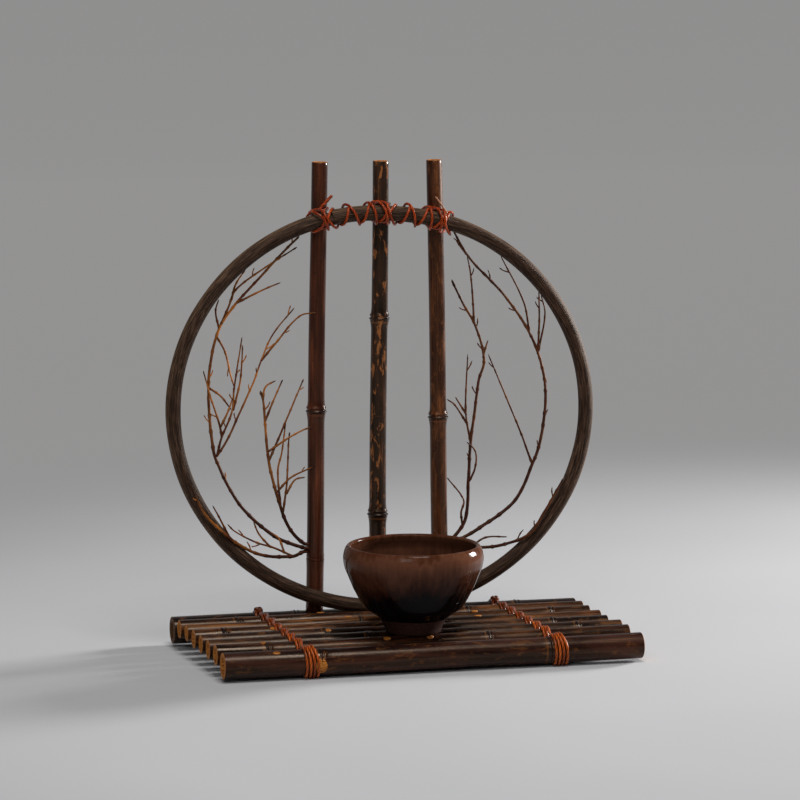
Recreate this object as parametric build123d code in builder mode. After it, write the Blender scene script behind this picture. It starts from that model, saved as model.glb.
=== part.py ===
from build123d import *
from math import acos, atan2, ceil, cos, hypot, pi, radians, sin, sqrt
import os

import numpy as np

# A bamboo vase on a raft. Two thick bamboo rails and six thinner slats make the raft. Three
# bamboo uprights stand in the back rail, and an oval hoop of bent cane leans against them in
# the groove behind the slats. Cord lashes the raft and ties the hoop to the uprights, dried
# twigs grow from the outer uprights, and a glazed bowl stands loose on the slats.
# Millimetres, +X to the right, +Y to the back, +Z up. The origin is on the ground, under the
# middle of the hoop and half way between the bowl's front and the back of the raft.

# Raft: two rails and the slats between them
rail_length = 300.0
front_rail_diameter = 18.6
back_rail_diameter = 19.7
rail_spacing = 131.7
raft_shift = 7.0
raft_skew = 9.5
slat_diameters = (13.3, 12.0, 13.5, 13.3, 14.0, 15.0)
slat_stand = 1.1
slat_trim_shares = (-0.004, -0.010, -0.006, -0.012, -0.002, -0.008)

# Bamboo: wall, hollow ends and the ring at each node
wall_share = 0.34
hollow_depth = 22.0
ring_stand = 0.35
ring_width = 2.4
front_rail_node_shares = (-0.547, 0.545)
back_rail_node_shares = (-0.400, 0.700)
slat_node_shares = (
    (-0.72, 0.42),
    (-0.15, 0.80),
    (-0.86, 0.21),
    (-0.40, 0.72),
    (-0.24, 0.78),
    (-0.76, 0.31),
)

# The cut stub of a side branch on the front rail
stub_width = 5.0
stub_height = 11.0
stub_stand = 1.0

# Uprights, as left, middle and right
upright_top = 344.6
upright_base_places = (-47.7, -0.9, 47.1)
upright_top_places = (-43.0, 1.9, 41.6)
upright_base_diameter = 12.4
upright_top_diameter = 10.8
upright_ring_stand = 0.9
upright_ring_width = 1.6
upright_flare = 6.0
upright_hollow_depth = 9.0
upright_wall = 2.4
upright_node_shares = ((0.14, 0.448), (0.22, 0.660), (0.13, 0.441))
tenon_diameter = 7.6
tenon_depth = 12.0
tenon_clearance = 0.1
saddle_clearance = 0.15

# Hoop: a bent cane whose two ends lie over each other at the top
hoop_half_width = 152.6
hoop_half_height = 142.8
hoop_lean = -9.2
cane_diameter = 10.6
cane_sides = 16
lap_diameter = 12.0
lap_gap = 0.3
lap_end_gap = 1.2
lap_left_place = -38.0
lap_right_place = 48.6
hoop_clearance = 0.3
hoop_spans = 8
lap_spans = 2
groove_share = 0.49

# Cord and lashings
cord_diameter = 1.5
cord_sides = 4
cord_clearance = 0.3
crossing_clearance = 0.5
cord_flat_share = 0.1
raft_lashing_shares = (-0.606, 0.568)
raft_lashing_drifts = (4.3, 6.2)
raft_turn_pitch = 2.6
front_turn_pitch = 2.9
front_turns = 4
turns_between_uprights = 3
twin_spacing = 2.6
upright_wrap_slope = 5.4
upright_stand_off = 2.8
top_stand_off = 2.2
reversal_stand_off = 3.6
tail_stand_off = 10.6
tail_reach = (-10.0, -3.4, 4.6)

# Twigs: the stems sit in drilled holes in the outer uprights
stem_diameter = 2.2
shoot_diameter = 1.4
tip_diameter = 0.8
twig_sides = 4
twig_hole_depth = 3.0
twig_clearance = 0.15

# Routes of the twigs. A place is how far out it is, as a share of the way from the upright's
# skin to the hoop's side, and how far above the hoop's middle, as a share of the hoop's half
# height. It may end with its depth behind the hoop's plane, as a share of the way to the
# uprights. The first route of each spray is its stem, and starts on the upright.
twig_depth_share = 0.87
left_tall_shares = (
    (
        (0, -0.7), (0.219, -0.641), (0.436, -0.513), (0.552, -0.401), (0.644, -0.267),
        (0.683, -0.187), (0.714, 0.037), (0.706, 0.224), (0.637, 0.422), (0.513, 0.545),
        (0.351, 0.663), (0.165, 0.796), (0.041, 0.876),
    ),
    ((0.637, 0.422), (0.66, 0.513), (0.637, 0.572)),
    ((0.637, 0.422), (0.567, 0.529), (0.513, 0.614), (0.312, 0.716), (0.057, 0.823)),
    ((0.544, 0.566), (0.513, 0.641), (0.436, 0.721)),
    ((0.505, 0.55), (0.304, 0.614), (0.181, 0.647)),
    (
        (0.66, -0.219), (0.621, -0.123), (0.544, 0.005), (0.528, 0.118), (0.49, 0.283),
        (0.467, 0.379),
    ),
    ((0.536, 0.011), (0.482, 0.16), (0.467, 0.342, 0.7)),
    ((0.621, -0.123), (0.637, -0.059), (0.699, 0.069, 0.7), (0.76, 0.219, 0.6)),
    ((0.629, -0.069), (0.575, 0.011, 0.75), (0.544, 0.08, 0.6)),
    (
        (0.66, -0.219), (0.583, -0.139), (0.49, -0.005), (0.382, 0.155), (0.327, 0.256),
        (0.242, 0.385), (0.08, 0.518),
    ),
    ((0.327, 0.256), (0.227, 0.337), (0.049, 0.476, 0.7), (-0.067, 0.497, 0.35)),
    ((0.652, 0.385), (0.59, 0.305, 0.95), (0.552, 0.192, 1), (0.521, 0.118, 0.9)),
    ((0.711, 0.128), (0.629, 0.085, 0.75), (0.552, 0.016, 0.8)),
)
left_inner_shares = (
    (
        (0, -0.679), (0.126, -0.593), (0.211, -0.433), (0.273, -0.256), (0.297, -0.096),
        (0.312, 0.048), (0.335, 0.107),
    ),
    ((0.315, 0.059), (0.297, 0.123), (0.219, 0.155)),
    ((0.3, -0.048), (0.227, 0.075, 0.8), (0.173, 0.16, 0.7)),
    ((0.273, -0.251), (0.211, -0.155), (0.103, 0.016), (0.018, 0.16, 0.7)),
    ((0.278, -0.203), (0.126, -0.134, 0.7), (0.026, -0.096, 0.55), (-0.044, -0.08, 0.4)),
    ((0.17, -0.513), (0.142, -0.374), (0.126, -0.16), (0.119, -0.107)),
    ((0.216, -0.411), (0.111, -0.337, 0.75), (-0.044, -0.283, 0.4)),
    ((0.188, -0.481), (0.204, -0.305, 1), (0.173, -0.214, 1.05), (0.142, -0.059, 1.05)),
    ((0.145, -0.422), (0.08, -0.353), (0.01, -0.337, 0.6)),
)
left_low_shares = (
    (
        (0, -0.721, 0.95), (0.111, -0.737, 0.6), (0.351, -0.716, 0.1), (0.528, -0.652, -0.35),
        (0.66, -0.577, -0.6), (0.791, -0.481, -0.62), (0.853, -0.39, -0.62),
    ),
    (
        (0.103, -0.737, 0.6), (0.242, -0.689, 0.4), (0.405, -0.647, 0.15), (0.552, -0.588, 0.05),
        (0.606, -0.55, 0),
    ),
    ((0.606, -0.606, -0.48), (0.675, -0.513, -0.65), (0.729, -0.443, -0.65)),
    ((0.281, -0.681, 0.33), (0.366, -0.609, 0.35), (0.405, -0.545, 0.35)),
    ((0.173, -0.713, 0.5), (0.211, -0.641, 0.6), (0.273, -0.609, 0.6)),
)
right_tall_shares = (
    (
        (0, -0.711), (0.239, -0.63), (0.493, -0.502), (0.623, -0.321), (0.685, -0.198),
        (0.723, 0.021), (0.693, 0.187), (0.593, 0.363), (0.401, 0.556), (0.147, 0.743),
        (0.016, 0.892),
    ),
    ((0.155, 0.737), (0.078, 0.801), (0.04, 0.839)),
    ((0.6, 0.347), (0.554, 0.513), (0.378, 0.753)),
    ((0.662, 0.246), (0.67, 0.417, 0.8), (0.662, 0.598, 0.7)),
    ((0.662, 0.246), (0.716, 0.449), (0.685, 0.55)),
    ((0.623, -0.321), (0.531, -0.15, 0.8), (0.408, 0.048, 0.7), (0.278, 0.256, 0.6)),
)
right_inner_shares = (
    (
        (0, -0.689), (0.116, -0.588), (0.139, -0.385), (0.155, -0.198), (0.186, -0.037),
        (0.216, 0.123), (0.255, 0.214), (0.232, 0.315), (0.178, 0.417), (0.101, 0.513, 1),
        (0.016, 0.636, 1.1),
    ),
    ((0.178, 0.417), (0.162, 0.55, 0.7), (0.132, 0.716, 0.55)),
    ((0.247, 0.235), (0.262, 0.278), (0.285, 0.326)),
    ((0.155, -0.198), (0.124, -0.037, 1.05), (0.139, 0.256, 1.1)),
    ((0.127, -0.053, 1.03), (0.047, 0.037, 1.1)),
    ((0.127, -0.096, 1.01), (0.047, -0.005, 1.2), (-0.014, 0.027, 1.25)),
    ((0.139, -0.401), (0.186, -0.326, 0.75), (0.186, -0.24, 0.7), (0.116, -0.187, 0.6)),
    ((0.093, -0.614), (0.086, -0.556, 0.9), (0.109, -0.492, 1.05), (-0.014, -0.374, 1.1)),
)
right_low_shares = (
    (
        (0, -0.737, 0.95), (0.278, -0.732, 0.5), (0.408, -0.711, 0), (0.562, -0.657, -0.5),
        (0.654, -0.561, -0.62), (0.816, -0.374, -0.62),
    ),
    ((0.147, -0.734, 0.72), (0.262, -0.684, 0.6), (0.424, -0.684, 0.5)),
)

# Bowl
bowl_place = (0.0, -34.0)
bowl_height = 61.3
bowl_belly_radius = 49.0
bowl_belly_height = 51.2
bowl_rim_radius = 46.7
bowl_shoulder_radius = 34.5
bowl_shoulder_height = 17.8
bowl_flank_radius = 45.5
bowl_flank_height = 39.2
bowl_waist_radius = 24.2
bowl_waist_height = 10.2
bowl_foot_radius = 19.0
bowl_wall = 3.6
bowl_lip_radius = 1.6
bowl_floor = 5.0
bowl_floor_radius = 8.0
bowl_floor_wall_share = 0.9
bowl_foot_recess_radius = 14.5
bowl_foot_recess_depth = 2.2
bowl_seat_gap = 0.3

# Sizes that follow from the ones above
cord_lift = cord_clearance + cord_diameter * (1 - cord_flat_share)
front_rail_radius = front_rail_diameter / 2
back_rail_radius = back_rail_diameter / 2
back_rail_height = cord_lift + back_rail_radius
front_rail_height = cord_lift + front_rail_radius
raft_top = cord_lift + back_rail_diameter + slat_stand
cord_reach = cord_clearance + cord_diameter / 2
cane_radius = cane_diameter / 2
lap_radius = lap_diameter / 2
raft_back_reach = rail_spacing / 2 + back_rail_radius + cord_clearance + cord_diameter
bowl_front_reach = bowl_belly_radius - bowl_place[1]
raft_middle = (bowl_front_reach - raft_back_reach) / 2
back_rail_y = raft_middle + rail_spacing / 2
front_rail_y = raft_middle - rail_spacing / 2
slat_spacing = rail_spacing / (len(slat_diameters) + 1)
slat_rows = [back_rail_y - slat_spacing * (row + 1) for row in range(len(slat_diameters))]
slat_heights = [raft_top - diameter / 2 for diameter in slat_diameters]


def skewed(y):
    """Where the middle of a raft pole at this depth lies along X."""
    return raft_shift - raft_skew * (y - front_rail_y) / rail_spacing


def groove_seat(hoop_y):
    """The lowest the hoop's cane can lie at this depth over the back rail and the first slat."""
    rail_reach = back_rail_radius + cane_radius + hoop_clearance
    slat_reach = slat_diameters[0] / 2 + cane_radius + hoop_clearance
    over_rail = back_rail_height + sqrt(rail_reach**2 - (back_rail_y - hoop_y) ** 2)
    over_slat = slat_heights[0] + sqrt(slat_reach**2 - (hoop_y - slat_rows[0]) ** 2)
    return max(over_rail, over_slat)


# The hoop lies in the middle of the groove, and the uprights stand close behind it
hoop_y = slat_rows[0] + groove_share * slat_spacing
upright_base_y = hoop_y + cane_radius + hoop_clearance + upright_base_diameter / 2
upright_top_y = hoop_y + lap_radius + hoop_clearance + upright_top_diameter / 2
lean = radians(hoop_lean)
hoop_rise = hypot(hoop_half_width * sin(lean), hoop_half_height * cos(lean))
hoop_reach = hypot(hoop_half_width * cos(lean), hoop_half_height * sin(lean))
hoop_phase = atan2(hoop_half_height * sin(lean), hoop_half_width * cos(lean))
hoop_z = groove_seat(hoop_y) + hoop_rise
hoop_top = hoop_z + hoop_rise


def hoop_point(turn):
    """A point on the hoop's centre line, on a leaning ellipse. The turn is in radians."""
    along = hoop_half_width * cos(turn)
    across = hoop_half_height * sin(turn)
    return Vector(
        along * cos(lean) - across * sin(lean),
        hoop_y,
        hoop_z + along * sin(lean) + across * cos(lean),
    )


def hoop_way(turn):
    """The direction of the hoop's centre line as the turn grows."""
    along = -hoop_half_width * sin(turn)
    across = hoop_half_height * cos(turn)
    return Vector(
        along * cos(lean) - across * sin(lean), 0, along * sin(lean) + across * cos(lean)
    ).normalized()


def hoop_outward(turn):
    """Square to the hoop's centre line, away from its middle."""
    way = hoop_way(turn)
    return Vector(way.Z, 0, -way.X)


def top_turn(x):
    """The turn at which the hoop's upper half passes this place along X."""
    return acos(x / hoop_reach) - hoop_phase


def arc_points(start, corner, finish):
    """Start, middle and end of the arc that touches both legs of a corner."""
    chord_middle = (start + finish) * 0.5
    share = (finish - start).length * 0.5 / (corner - start).length
    return start, chord_middle + (corner - chord_middle) * (share / (1 + share)), finish


def biarc(start, start_way, finish, finish_way):
    """Two arcs that leave along one direction, arrive along the other and meet smoothly."""
    span = finish - start
    both = start_way + finish_way
    spread = 2 * (1 - start_way.dot(finish_way))
    if spread < 1e-9:
        reach = span.dot(span) / (4 * span.dot(finish_way))
    else:
        reach = (sqrt(span.dot(both) ** 2 + spread * span.dot(span)) - span.dot(both)) / spread
    first = start + start_way * reach
    second = finish - finish_way * reach
    meet = (first + second) * 0.5
    return [arc_points(start, first, meet), arc_points(meet, second, finish)]


def route_arcs(stations):
    """The arcs of a smooth route through stations, each a point and a direction."""
    arcs = []
    for (start, start_way), (finish, finish_way) in zip(stations, stations[1:]):
        arcs += biarc(start, start_way.normalized(), finish, finish_way.normalized())
    return arcs


def is_straight(start, middle, finish):
    """Whether three points lie in line, so that a line takes the arc's place."""
    return (middle - (start + finish) * 0.5).length < 1e-4 * (finish - start).length


def least_gap(stations, diameter, apart):
    """The least gap of a cord to itself, between places further apart along it than given."""
    points = []
    for start, middle, finish in route_arcs(stations):
        if is_straight(start, middle, finish):
            edge = Edge.make_line(start, finish)
        else:
            edge = Edge.make_three_point_arc(start, middle, finish)
        steps = max(2, ceil(edge.length / (diameter / 3)))
        points += [tuple(edge.position_at(step / steps)) for step in range(steps)]
    places = np.array(points)
    along = np.cumsum(np.r_[0, np.linalg.norm(np.diff(places, axis=0), axis=1)])
    least = float("inf")
    for place, here in zip(places, along):
        far = np.abs(along - here) > apart
        if far.any():
            least = min(least, np.linalg.norm(places[far] - place, axis=1).min())
    return least - diameter


def section_plane(point, way):
    """A plane square to a route, turned so that sections along it don't twist."""
    way = way.normalized()
    return Plane(origin=point, x_dir=Vector(0, 1, 0) - way * way.Y, z_dir=way)


def node_ring(place, radius):
    """The outline of a pole across one node: a low ridge."""
    half = ring_width / 2
    return [(place - half, radius), (place, radius + ring_stand), (place + half, radius)]


def raft_pole(middle, length, diameter, node_shares):
    """A bamboo pole along X with hollow cut ends and a ring at each node."""
    radius = diameter / 2
    bore = radius * (1 - wall_share)
    half = length / 2
    outline = [(-half, bore), (-half, radius)]
    for share in node_shares:
        outline += node_ring(share * half, radius)
    outline += [
        (half, radius),
        (half, bore),
        (half - hollow_depth, bore),
        (half - hollow_depth, 0),
        (hollow_depth - half, 0),
        (hollow_depth - half, bore),
    ]
    with BuildPart() as pole:
        with BuildSketch(Plane(origin=middle, x_dir=(1, 0, 0), z_dir=(0, -1, 0))):
            with BuildLine():
                Polyline(*outline, close=True)
            make_face()
        revolve(axis=Axis(middle, (1, 0, 0)))
    return pole


def save(made, name):
    """Names a finished piece and writes its file."""
    made.part.label = name
    export_step(made.part, f"parts/{name}.step")


os.makedirs("parts", exist_ok=True)

# Front rail, with the stub of a cut side branch beside its left lashing
front_middle = Vector(skewed(front_rail_y), front_rail_y, front_rail_height)
front_pole = raft_pole(front_middle, rail_length, front_rail_diameter, front_rail_node_shares)
stub_x = front_middle.X + front_rail_node_shares[0] * rail_length / 2 + ring_width / 2
with BuildPart() as front_rail:
    add(front_pole.part)
    with BuildSketch(Plane(origin=(stub_x, front_rail_y, front_rail_height), z_dir=(0, -1, 0))):
        Ellipse(stub_height / 2, stub_width / 2)
    extrude(amount=front_rail_radius + stub_stand)
save(front_rail, "front_rail")

# Slats, from the back of the raft to its front
for row, diameter in enumerate(slat_diameters):
    trim = slat_trim_shares[row] * rail_length
    slat = raft_pole(
        Vector(skewed(slat_rows[row]) + trim / 2, slat_rows[row], slat_heights[row]),
        rail_length + trim,
        diameter,
        slat_node_shares[row],
    )
    save(slat, f"slat_{row + 1}")

# Back rail, drilled for the tenons of the uprights
back_middle = Vector(skewed(back_rail_y), back_rail_y, back_rail_height)
back_pole = raft_pole(back_middle, rail_length, back_rail_diameter, back_rail_node_shares)
tenon_foot = cord_lift + back_rail_diameter - tenon_depth
upright_ways = []
for base_x, top_x in zip(upright_base_places, upright_top_places):
    base = Vector(base_x, upright_base_y, back_rail_height)
    upright_ways.append((base, Vector(top_x, upright_top_y, upright_top) - base))
with BuildPart() as back_rail:
    add(back_pole.part)
    for base, way in upright_ways:
        with BuildSketch(Plane(origin=(base.X, base.Y, tenon_foot))):
            Circle(tenon_diameter / 2 + tenon_clearance)
        extrude(amount=back_rail_diameter, mode=Mode.SUBTRACT)
save(back_rail, "back_rail")


def upright_outline(length, node_shares):
    """Half the section of an upright: straight internodes, flared rings and a hollow top."""
    thinning = (upright_base_diameter - upright_top_diameter) / 2 / len(node_shares)
    ring = upright_ring_width / 2
    radius = upright_base_diameter / 2
    outline = [(0, 0), (radius, 0)]
    for share in node_shares:
        height = share * length
        outline += [(radius, height - upright_flare), (radius + upright_ring_stand, height - ring)]
        outline.append((radius + upright_ring_stand, height + ring))
        radius -= thinning
        outline.append((radius, height + upright_flare))
    floor = length - upright_hollow_depth
    bore = radius - upright_wall
    return outline + [(radius, length), (bore, length), (bore, floor), (0, floor)]


def twig_place(side, out_share, up_share, depth_share=twig_depth_share):
    """A place in a twig's route beside the left or the right upright."""
    base_x = upright_base_places[side]
    start = abs(base_x) + upright_base_diameter / 2
    reach = start + out_share * (hoop_half_width - start)
    return Vector(
        reach if base_x > 0 else -reach,
        hoop_y + depth_share * (upright_base_y - hoop_y),
        hoop_z + up_share * hoop_half_height,
    )


# Sprays of twigs: name, side and routes. A stem starts at the bottom of its hole in the upright
sprays = (
    ("twigs_left_tall", 0, left_tall_shares),
    ("twigs_left_inner", 0, left_inner_shares),
    ("twigs_left_low", 0, left_low_shares),
    ("twigs_right_tall", 2, right_tall_shares),
    ("twigs_right_inner", 2, right_inner_shares),
    ("twigs_right_low", 2, right_low_shares),
)
twig_roots = []
for name, side, routes in sprays:
    base, way = upright_ways[side]
    first = twig_place(side, *routes[0][0])
    outward = 1 if side else -1
    surface = base.X + (first.Z - base.Z) / way.Z * way.X + outward * upright_base_diameter / 2
    twig_roots.append((side, outward, Vector(surface, first.Y, first.Z)))

# Uprights: each leans a little, is coped over the back rail and has a tenon in its hole
for place, (base, way) in enumerate(upright_ways):
    across = Vector(way.Z, 0, -way.X)
    with BuildPart() as upright:
        with BuildSketch(Plane(origin=base, x_dir=across, z_dir=across.cross(way))):
            with BuildLine():
                Polyline(*upright_outline(way.length, upright_node_shares[place]), close=True)
            make_face()
        revolve(axis=Axis(base, way))
        with BuildSketch(Plane(origin=back_middle, z_dir=(1, 0, 0))):
            Circle(back_rail_radius + saddle_clearance)
        extrude(amount=rail_length / 2, both=True, mode=Mode.SUBTRACT)
        with BuildSketch(Plane(origin=(base.X, base.Y, tenon_foot + tenon_clearance))):
            Circle(tenon_diameter / 2)
        extrude(amount=tenon_depth)
        for side, outward, root in twig_roots:
            if side == place:
                with BuildSketch(Plane(origin=root, z_dir=(-outward, 0, 0))):
                    Circle(stem_diameter / 2 + twig_clearance)
                extrude(amount=twig_hole_depth, mode=Mode.SUBTRACT)
    save(upright, ("upright_left", "upright_middle", "upright_right")[place])


def twig_sections(points, thick, thin):
    """Planes across a twig at its places, halving its turns, and its diameters there."""
    sections = []
    for index, point in enumerate(points):
        way = Vector()
        if index:
            way += (point - points[index - 1]).normalized()
        if index + 1 < len(points):
            way += (points[index + 1] - point).normalized()
        diameter = thick + (thin - thick) * index / (len(points) - 1)
        sections.append((section_plane(point, way), diameter))
    return sections


# Twigs: straight tapering lengths from place to place, joined at their bends and forks
for (name, side, routes), (_, outward, root) in zip(sprays, twig_roots):
    with BuildPart() as spray:
        for number, route in enumerate(routes):
            points = [twig_place(side, *shares) for shares in route]
            sections = twig_sections(points, shoot_diameter, tip_diameter)
            if number == 0:
                way_in = Vector(outward, 0, 0)
                foot = root - way_in * (twig_hole_depth - twig_clearance)
                points = [foot, root + way_in * stem_diameter, *points[1:]]
                sections = twig_sections(points, stem_diameter, shoot_diameter)
            for ends in zip(sections, sections[1:]):
                for plane, diameter in ends:
                    with BuildSketch(plane):
                        RegularPolygon(diameter / 2, twig_sides)
                loft(ruled=True)
    save(spray, name)


def hoop_stations(first_turn, last_turn, steps):
    """Points and directions along the hoop from one turn to another."""
    turns = np.linspace(first_turn, last_turn, steps + 1)
    side = 1 if last_turn > first_turn else -1
    return [(hoop_point(turn), hoop_way(turn) * side) for turn in turns]


# Hoop: one round cane, whose flattened ends lie over each other where the cord ties them
lap_left = top_turn(lap_left_place)
lap_right = top_turn(lap_right_place)
lap_end_turn = lap_end_gap / hoop_half_width
with BuildPart() as hoop:
    with BuildLine() as cane_line:
        for points in route_arcs(hoop_stations(lap_left, lap_right + 2 * pi, hoop_spans)):
            ThreePointArc(*points)
    with BuildSketch(Plane(hoop_point(lap_left), hoop_outward(lap_left), hoop_way(lap_left))):
        RegularPolygon(cane_radius, cane_sides)
    sweep(path=cane_line.wire(), clean=False)
    for first, last, out in (
        (lap_left, lap_right + lap_end_turn, -1),
        (lap_right, lap_left - lap_end_turn, 1),
    ):
        stations = hoop_stations(first, last, lap_spans)
        with BuildLine() as limb_line:
            for points in route_arcs(stations):
                ThreePointArc(*points)
        with BuildSketch(Plane(stations[0][0], hoop_outward(first) * out, stations[0][1])):
            RegularPolygon(lap_radius, cane_sides)
            with Locations((lap_gap / 2 - lap_radius, 0)):
                Rectangle(lap_diameter, lap_diameter, mode=Mode.SUBTRACT)
        sweep(path=limb_line.wire(), clean=False)
save(hoop, "hoop")


def cord(stations, name):
    """A cord along a route, cut flat where it would reach below the ground."""
    start, way = stations[0]
    with BuildPart() as made:
        with BuildLine() as line:
            for points in route_arcs(stations):
                if is_straight(*points):
                    Line(points[0], points[2])
                else:
                    ThreePointArc(*points)
        with BuildSketch(Plane(origin=start, z_dir=way)):
            RegularPolygon(cord_diameter / 2, cord_sides)
        sweep(path=line.wire(), clean=False)
        if made.part.bounding_box().min.Z < 0:
            split(bisect_by=Plane.XY, keep=Keep.TOP)
    apart = cord_diameter * pi
    print(name, "least gap to itself", round(least_gap(stations, cord_diameter, apart), 3))
    save(made, name)


def pole_station(row, x, angle, pitch, reach=cord_reach):
    """Where a cord wound over the front of a raft pole lies. Row 0 is the back rail."""
    radii = [back_rail_radius, *(diameter / 2 for diameter in slat_diameters), front_rail_radius]
    heights = [back_rail_height, *slat_heights, front_rail_height]
    turn = radians(angle)
    far = radii[row] + reach
    point = Vector(
        x, back_rail_y - row * slat_spacing + far * cos(turn), heights[row] + far * sin(turn)
    )
    return point, Vector(pitch / (2 * pi), -far * sin(turn), far * cos(turn))


# Raft lashings: a hitch over two turns on the back rail, one turn round each slat with a
# slanting stretch to the next, and the turns on the front rail
last_row = len(slat_diameters) + 1
upper_reach = cord_reach + cord_diameter + crossing_clearance
for name, share, drift in zip(
    ("raft_lashing_left", "raft_lashing_right"), raft_lashing_shares, raft_lashing_drifts
):
    place = share * rail_length / 2
    pitch = raft_turn_pitch
    stations = [
        pole_station(0, place + 1.5 * pitch, 30, -3 * pitch, upper_reach),
        pole_station(0, place + 0.5 * pitch, 75, -3 * pitch, upper_reach),
        pole_station(0, place - 0.6 * pitch, 120, -3 * pitch, upper_reach),
        pole_station(0, place - 1.1 * pitch, 180, 0),
        pole_station(0, place - 0.9 * pitch, 270, pitch),
        pole_station(0, place - 0.5 * pitch, 360, pitch),
    ]
    for quarter in range(4):
        stations.append(pole_station(0, place + pitch * quarter / 4, 90 + 90 * quarter, pitch))
    stations.append(pole_station(0, place + pitch, 90, 0))
    for row in range(1, last_row):
        start = place + drift * row / last_row
        stations.append(pole_station(row, start, 90, 0))
        for quarter in (1, 2, 3):
            stations.append(
                pole_station(row, start + pitch * quarter / 4, 90 + 90 * quarter, pitch)
            )
        stations.append(pole_station(row, start + pitch, 90, 0))
    for quarter in range(4 * front_turns):
        along = front_turn_pitch * quarter / 4
        stations.append(
            pole_station(last_row, place + drift + along, 90 + 90 * quarter, front_turn_pitch)
        )
    cord(stations, name)


def wound(x, angle, reach, drift):
    """A station of a cord wound down the hoop's front: 0 is the front and 90 the top."""
    turn = top_turn(x)
    out = hoop_outward(turn)
    right = hoop_way(turn) * -1
    lift = radians(angle)
    point = hoop_point(turn) + Vector(0, -reach * cos(lift), 0) + out * (reach * sin(lift))
    down = Vector(0, -reach * sin(lift), 0) - out * (reach * cos(lift))
    return point, down + right * (drift / (2 * pi))


def upright_loop(x, side, extra):
    """Stations beside and behind an upright, from one side of it low to the other side high."""
    far = upright_top_diameter / 2 + cord_reach
    steep = upright_wrap_slope + extra / 2
    low = hoop_point(top_turn(x + side * far)).Z - steep
    high = hoop_point(top_turn(x - side * far)).Z + steep
    return [
        (Vector(x + side * far, upright_top_y, low), Vector(0, far, steep / 2)),
        (
            Vector(x, upright_top_y + far + extra, (low + high) / 2),
            Vector(-side * far, 0, (high - low) / 2),
        ),
        (Vector(x - side * far, upright_top_y, high), Vector(0, -far, steep / 2)),
    ]


def hoop_pass(fronts_at_uprights, side, reach, extra):
    """One pass of the cord along the hoop: a loop round each upright and turns between them."""
    quarter = twin_spacing
    off = side * upright_stand_off
    stations = []
    for number, x in enumerate(fronts_at_uprights):
        first = x if side > 0 else x + twin_spacing
        second = x + twin_spacing if side > 0 else x
        stations += [
            wound(first, 0, reach, side * 4 * quarter),
            wound(first + side * quarter, -90, reach, side * 4 * quarter),
            *upright_loop(x, side, extra),
            wound(second - side * quarter, 90, reach, side * 4 * quarter),
        ]
        if number + 1 < len(fronts_at_uprights):
            following = fronts_at_uprights[number + 1] + (0 if side > 0 else twin_spacing)
            pitch = (following - second) / turns_between_uprights
            for turn in range(turns_between_uprights):
                front = second + turn * pitch
                leaving = off if turn == 0 else 0
                coming = off if turn == turns_between_uprights - 1 else 0
                arriving = side * top_stand_off if coming else 0
                bottom_reach = reach if leaving else lap_radius + cord_reach
                top_reach = reach if coming else lap_radius + cord_reach
                stations += [
                    wound(front, 0, reach, pitch),
                    wound(front + pitch / 4 + leaving / 2, -90, bottom_reach, pitch),
                    wound(front + pitch / 2 + leaving - coming, 180, reach, pitch),
                    wound(front + pitch * 3 / 4 - arriving, 90, top_reach, pitch),
                ]
        else:
            stations += [
                wound(second, 0, reach, side * 4 * quarter),
                wound(second + side * quarter + 2 * off, -90, reach, side * 4 * quarter),
            ]
    return stations


# Hoop lashing: from its tail at the right upright the cord goes to the left, turns back
# beside the left upright and returns over its own turns
upright_tops = []
for base, way in upright_ways:
    near_top = base + way * ((hoop_top - base.Z) / way.Z)
    upright_tops.append(near_top.X)
under = lap_radius + cord_reach
over = under + cord_diameter + crossing_clearance
left_x, right_x = upright_tops[0], upright_tops[-1]
tail_x = right_x + tail_stand_off
above = over + cord_diameter + crossing_clearance
tail_root = wound(tail_x - twin_spacing, 90, above, 0)[0]
reversal_x = left_x - upright_top_diameter / 2 - cord_reach - reversal_stand_off
hoop_lashing_stations = [
    wound(tail_x, 180, under, -4 * twin_spacing),
    wound(right_x + 2 * twin_spacing, 90, under, -4 * twin_spacing),
    *hoop_pass(upright_tops[::-1], -1, under, 0),
    wound(reversal_x, 180, under, 0),
    wound(left_x - 2 * twin_spacing, 90, over, 0),
    *hoop_pass(upright_tops, 1, over, cord_diameter + crossing_clearance),
    wound(tail_x, 180, over, 0),
    (tail_root, Vector(tail_reach)),
    (tail_root + Vector(tail_reach), Vector(tail_reach)),
]
cord(hoop_lashing_stations, "hoop_lashing")

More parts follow.
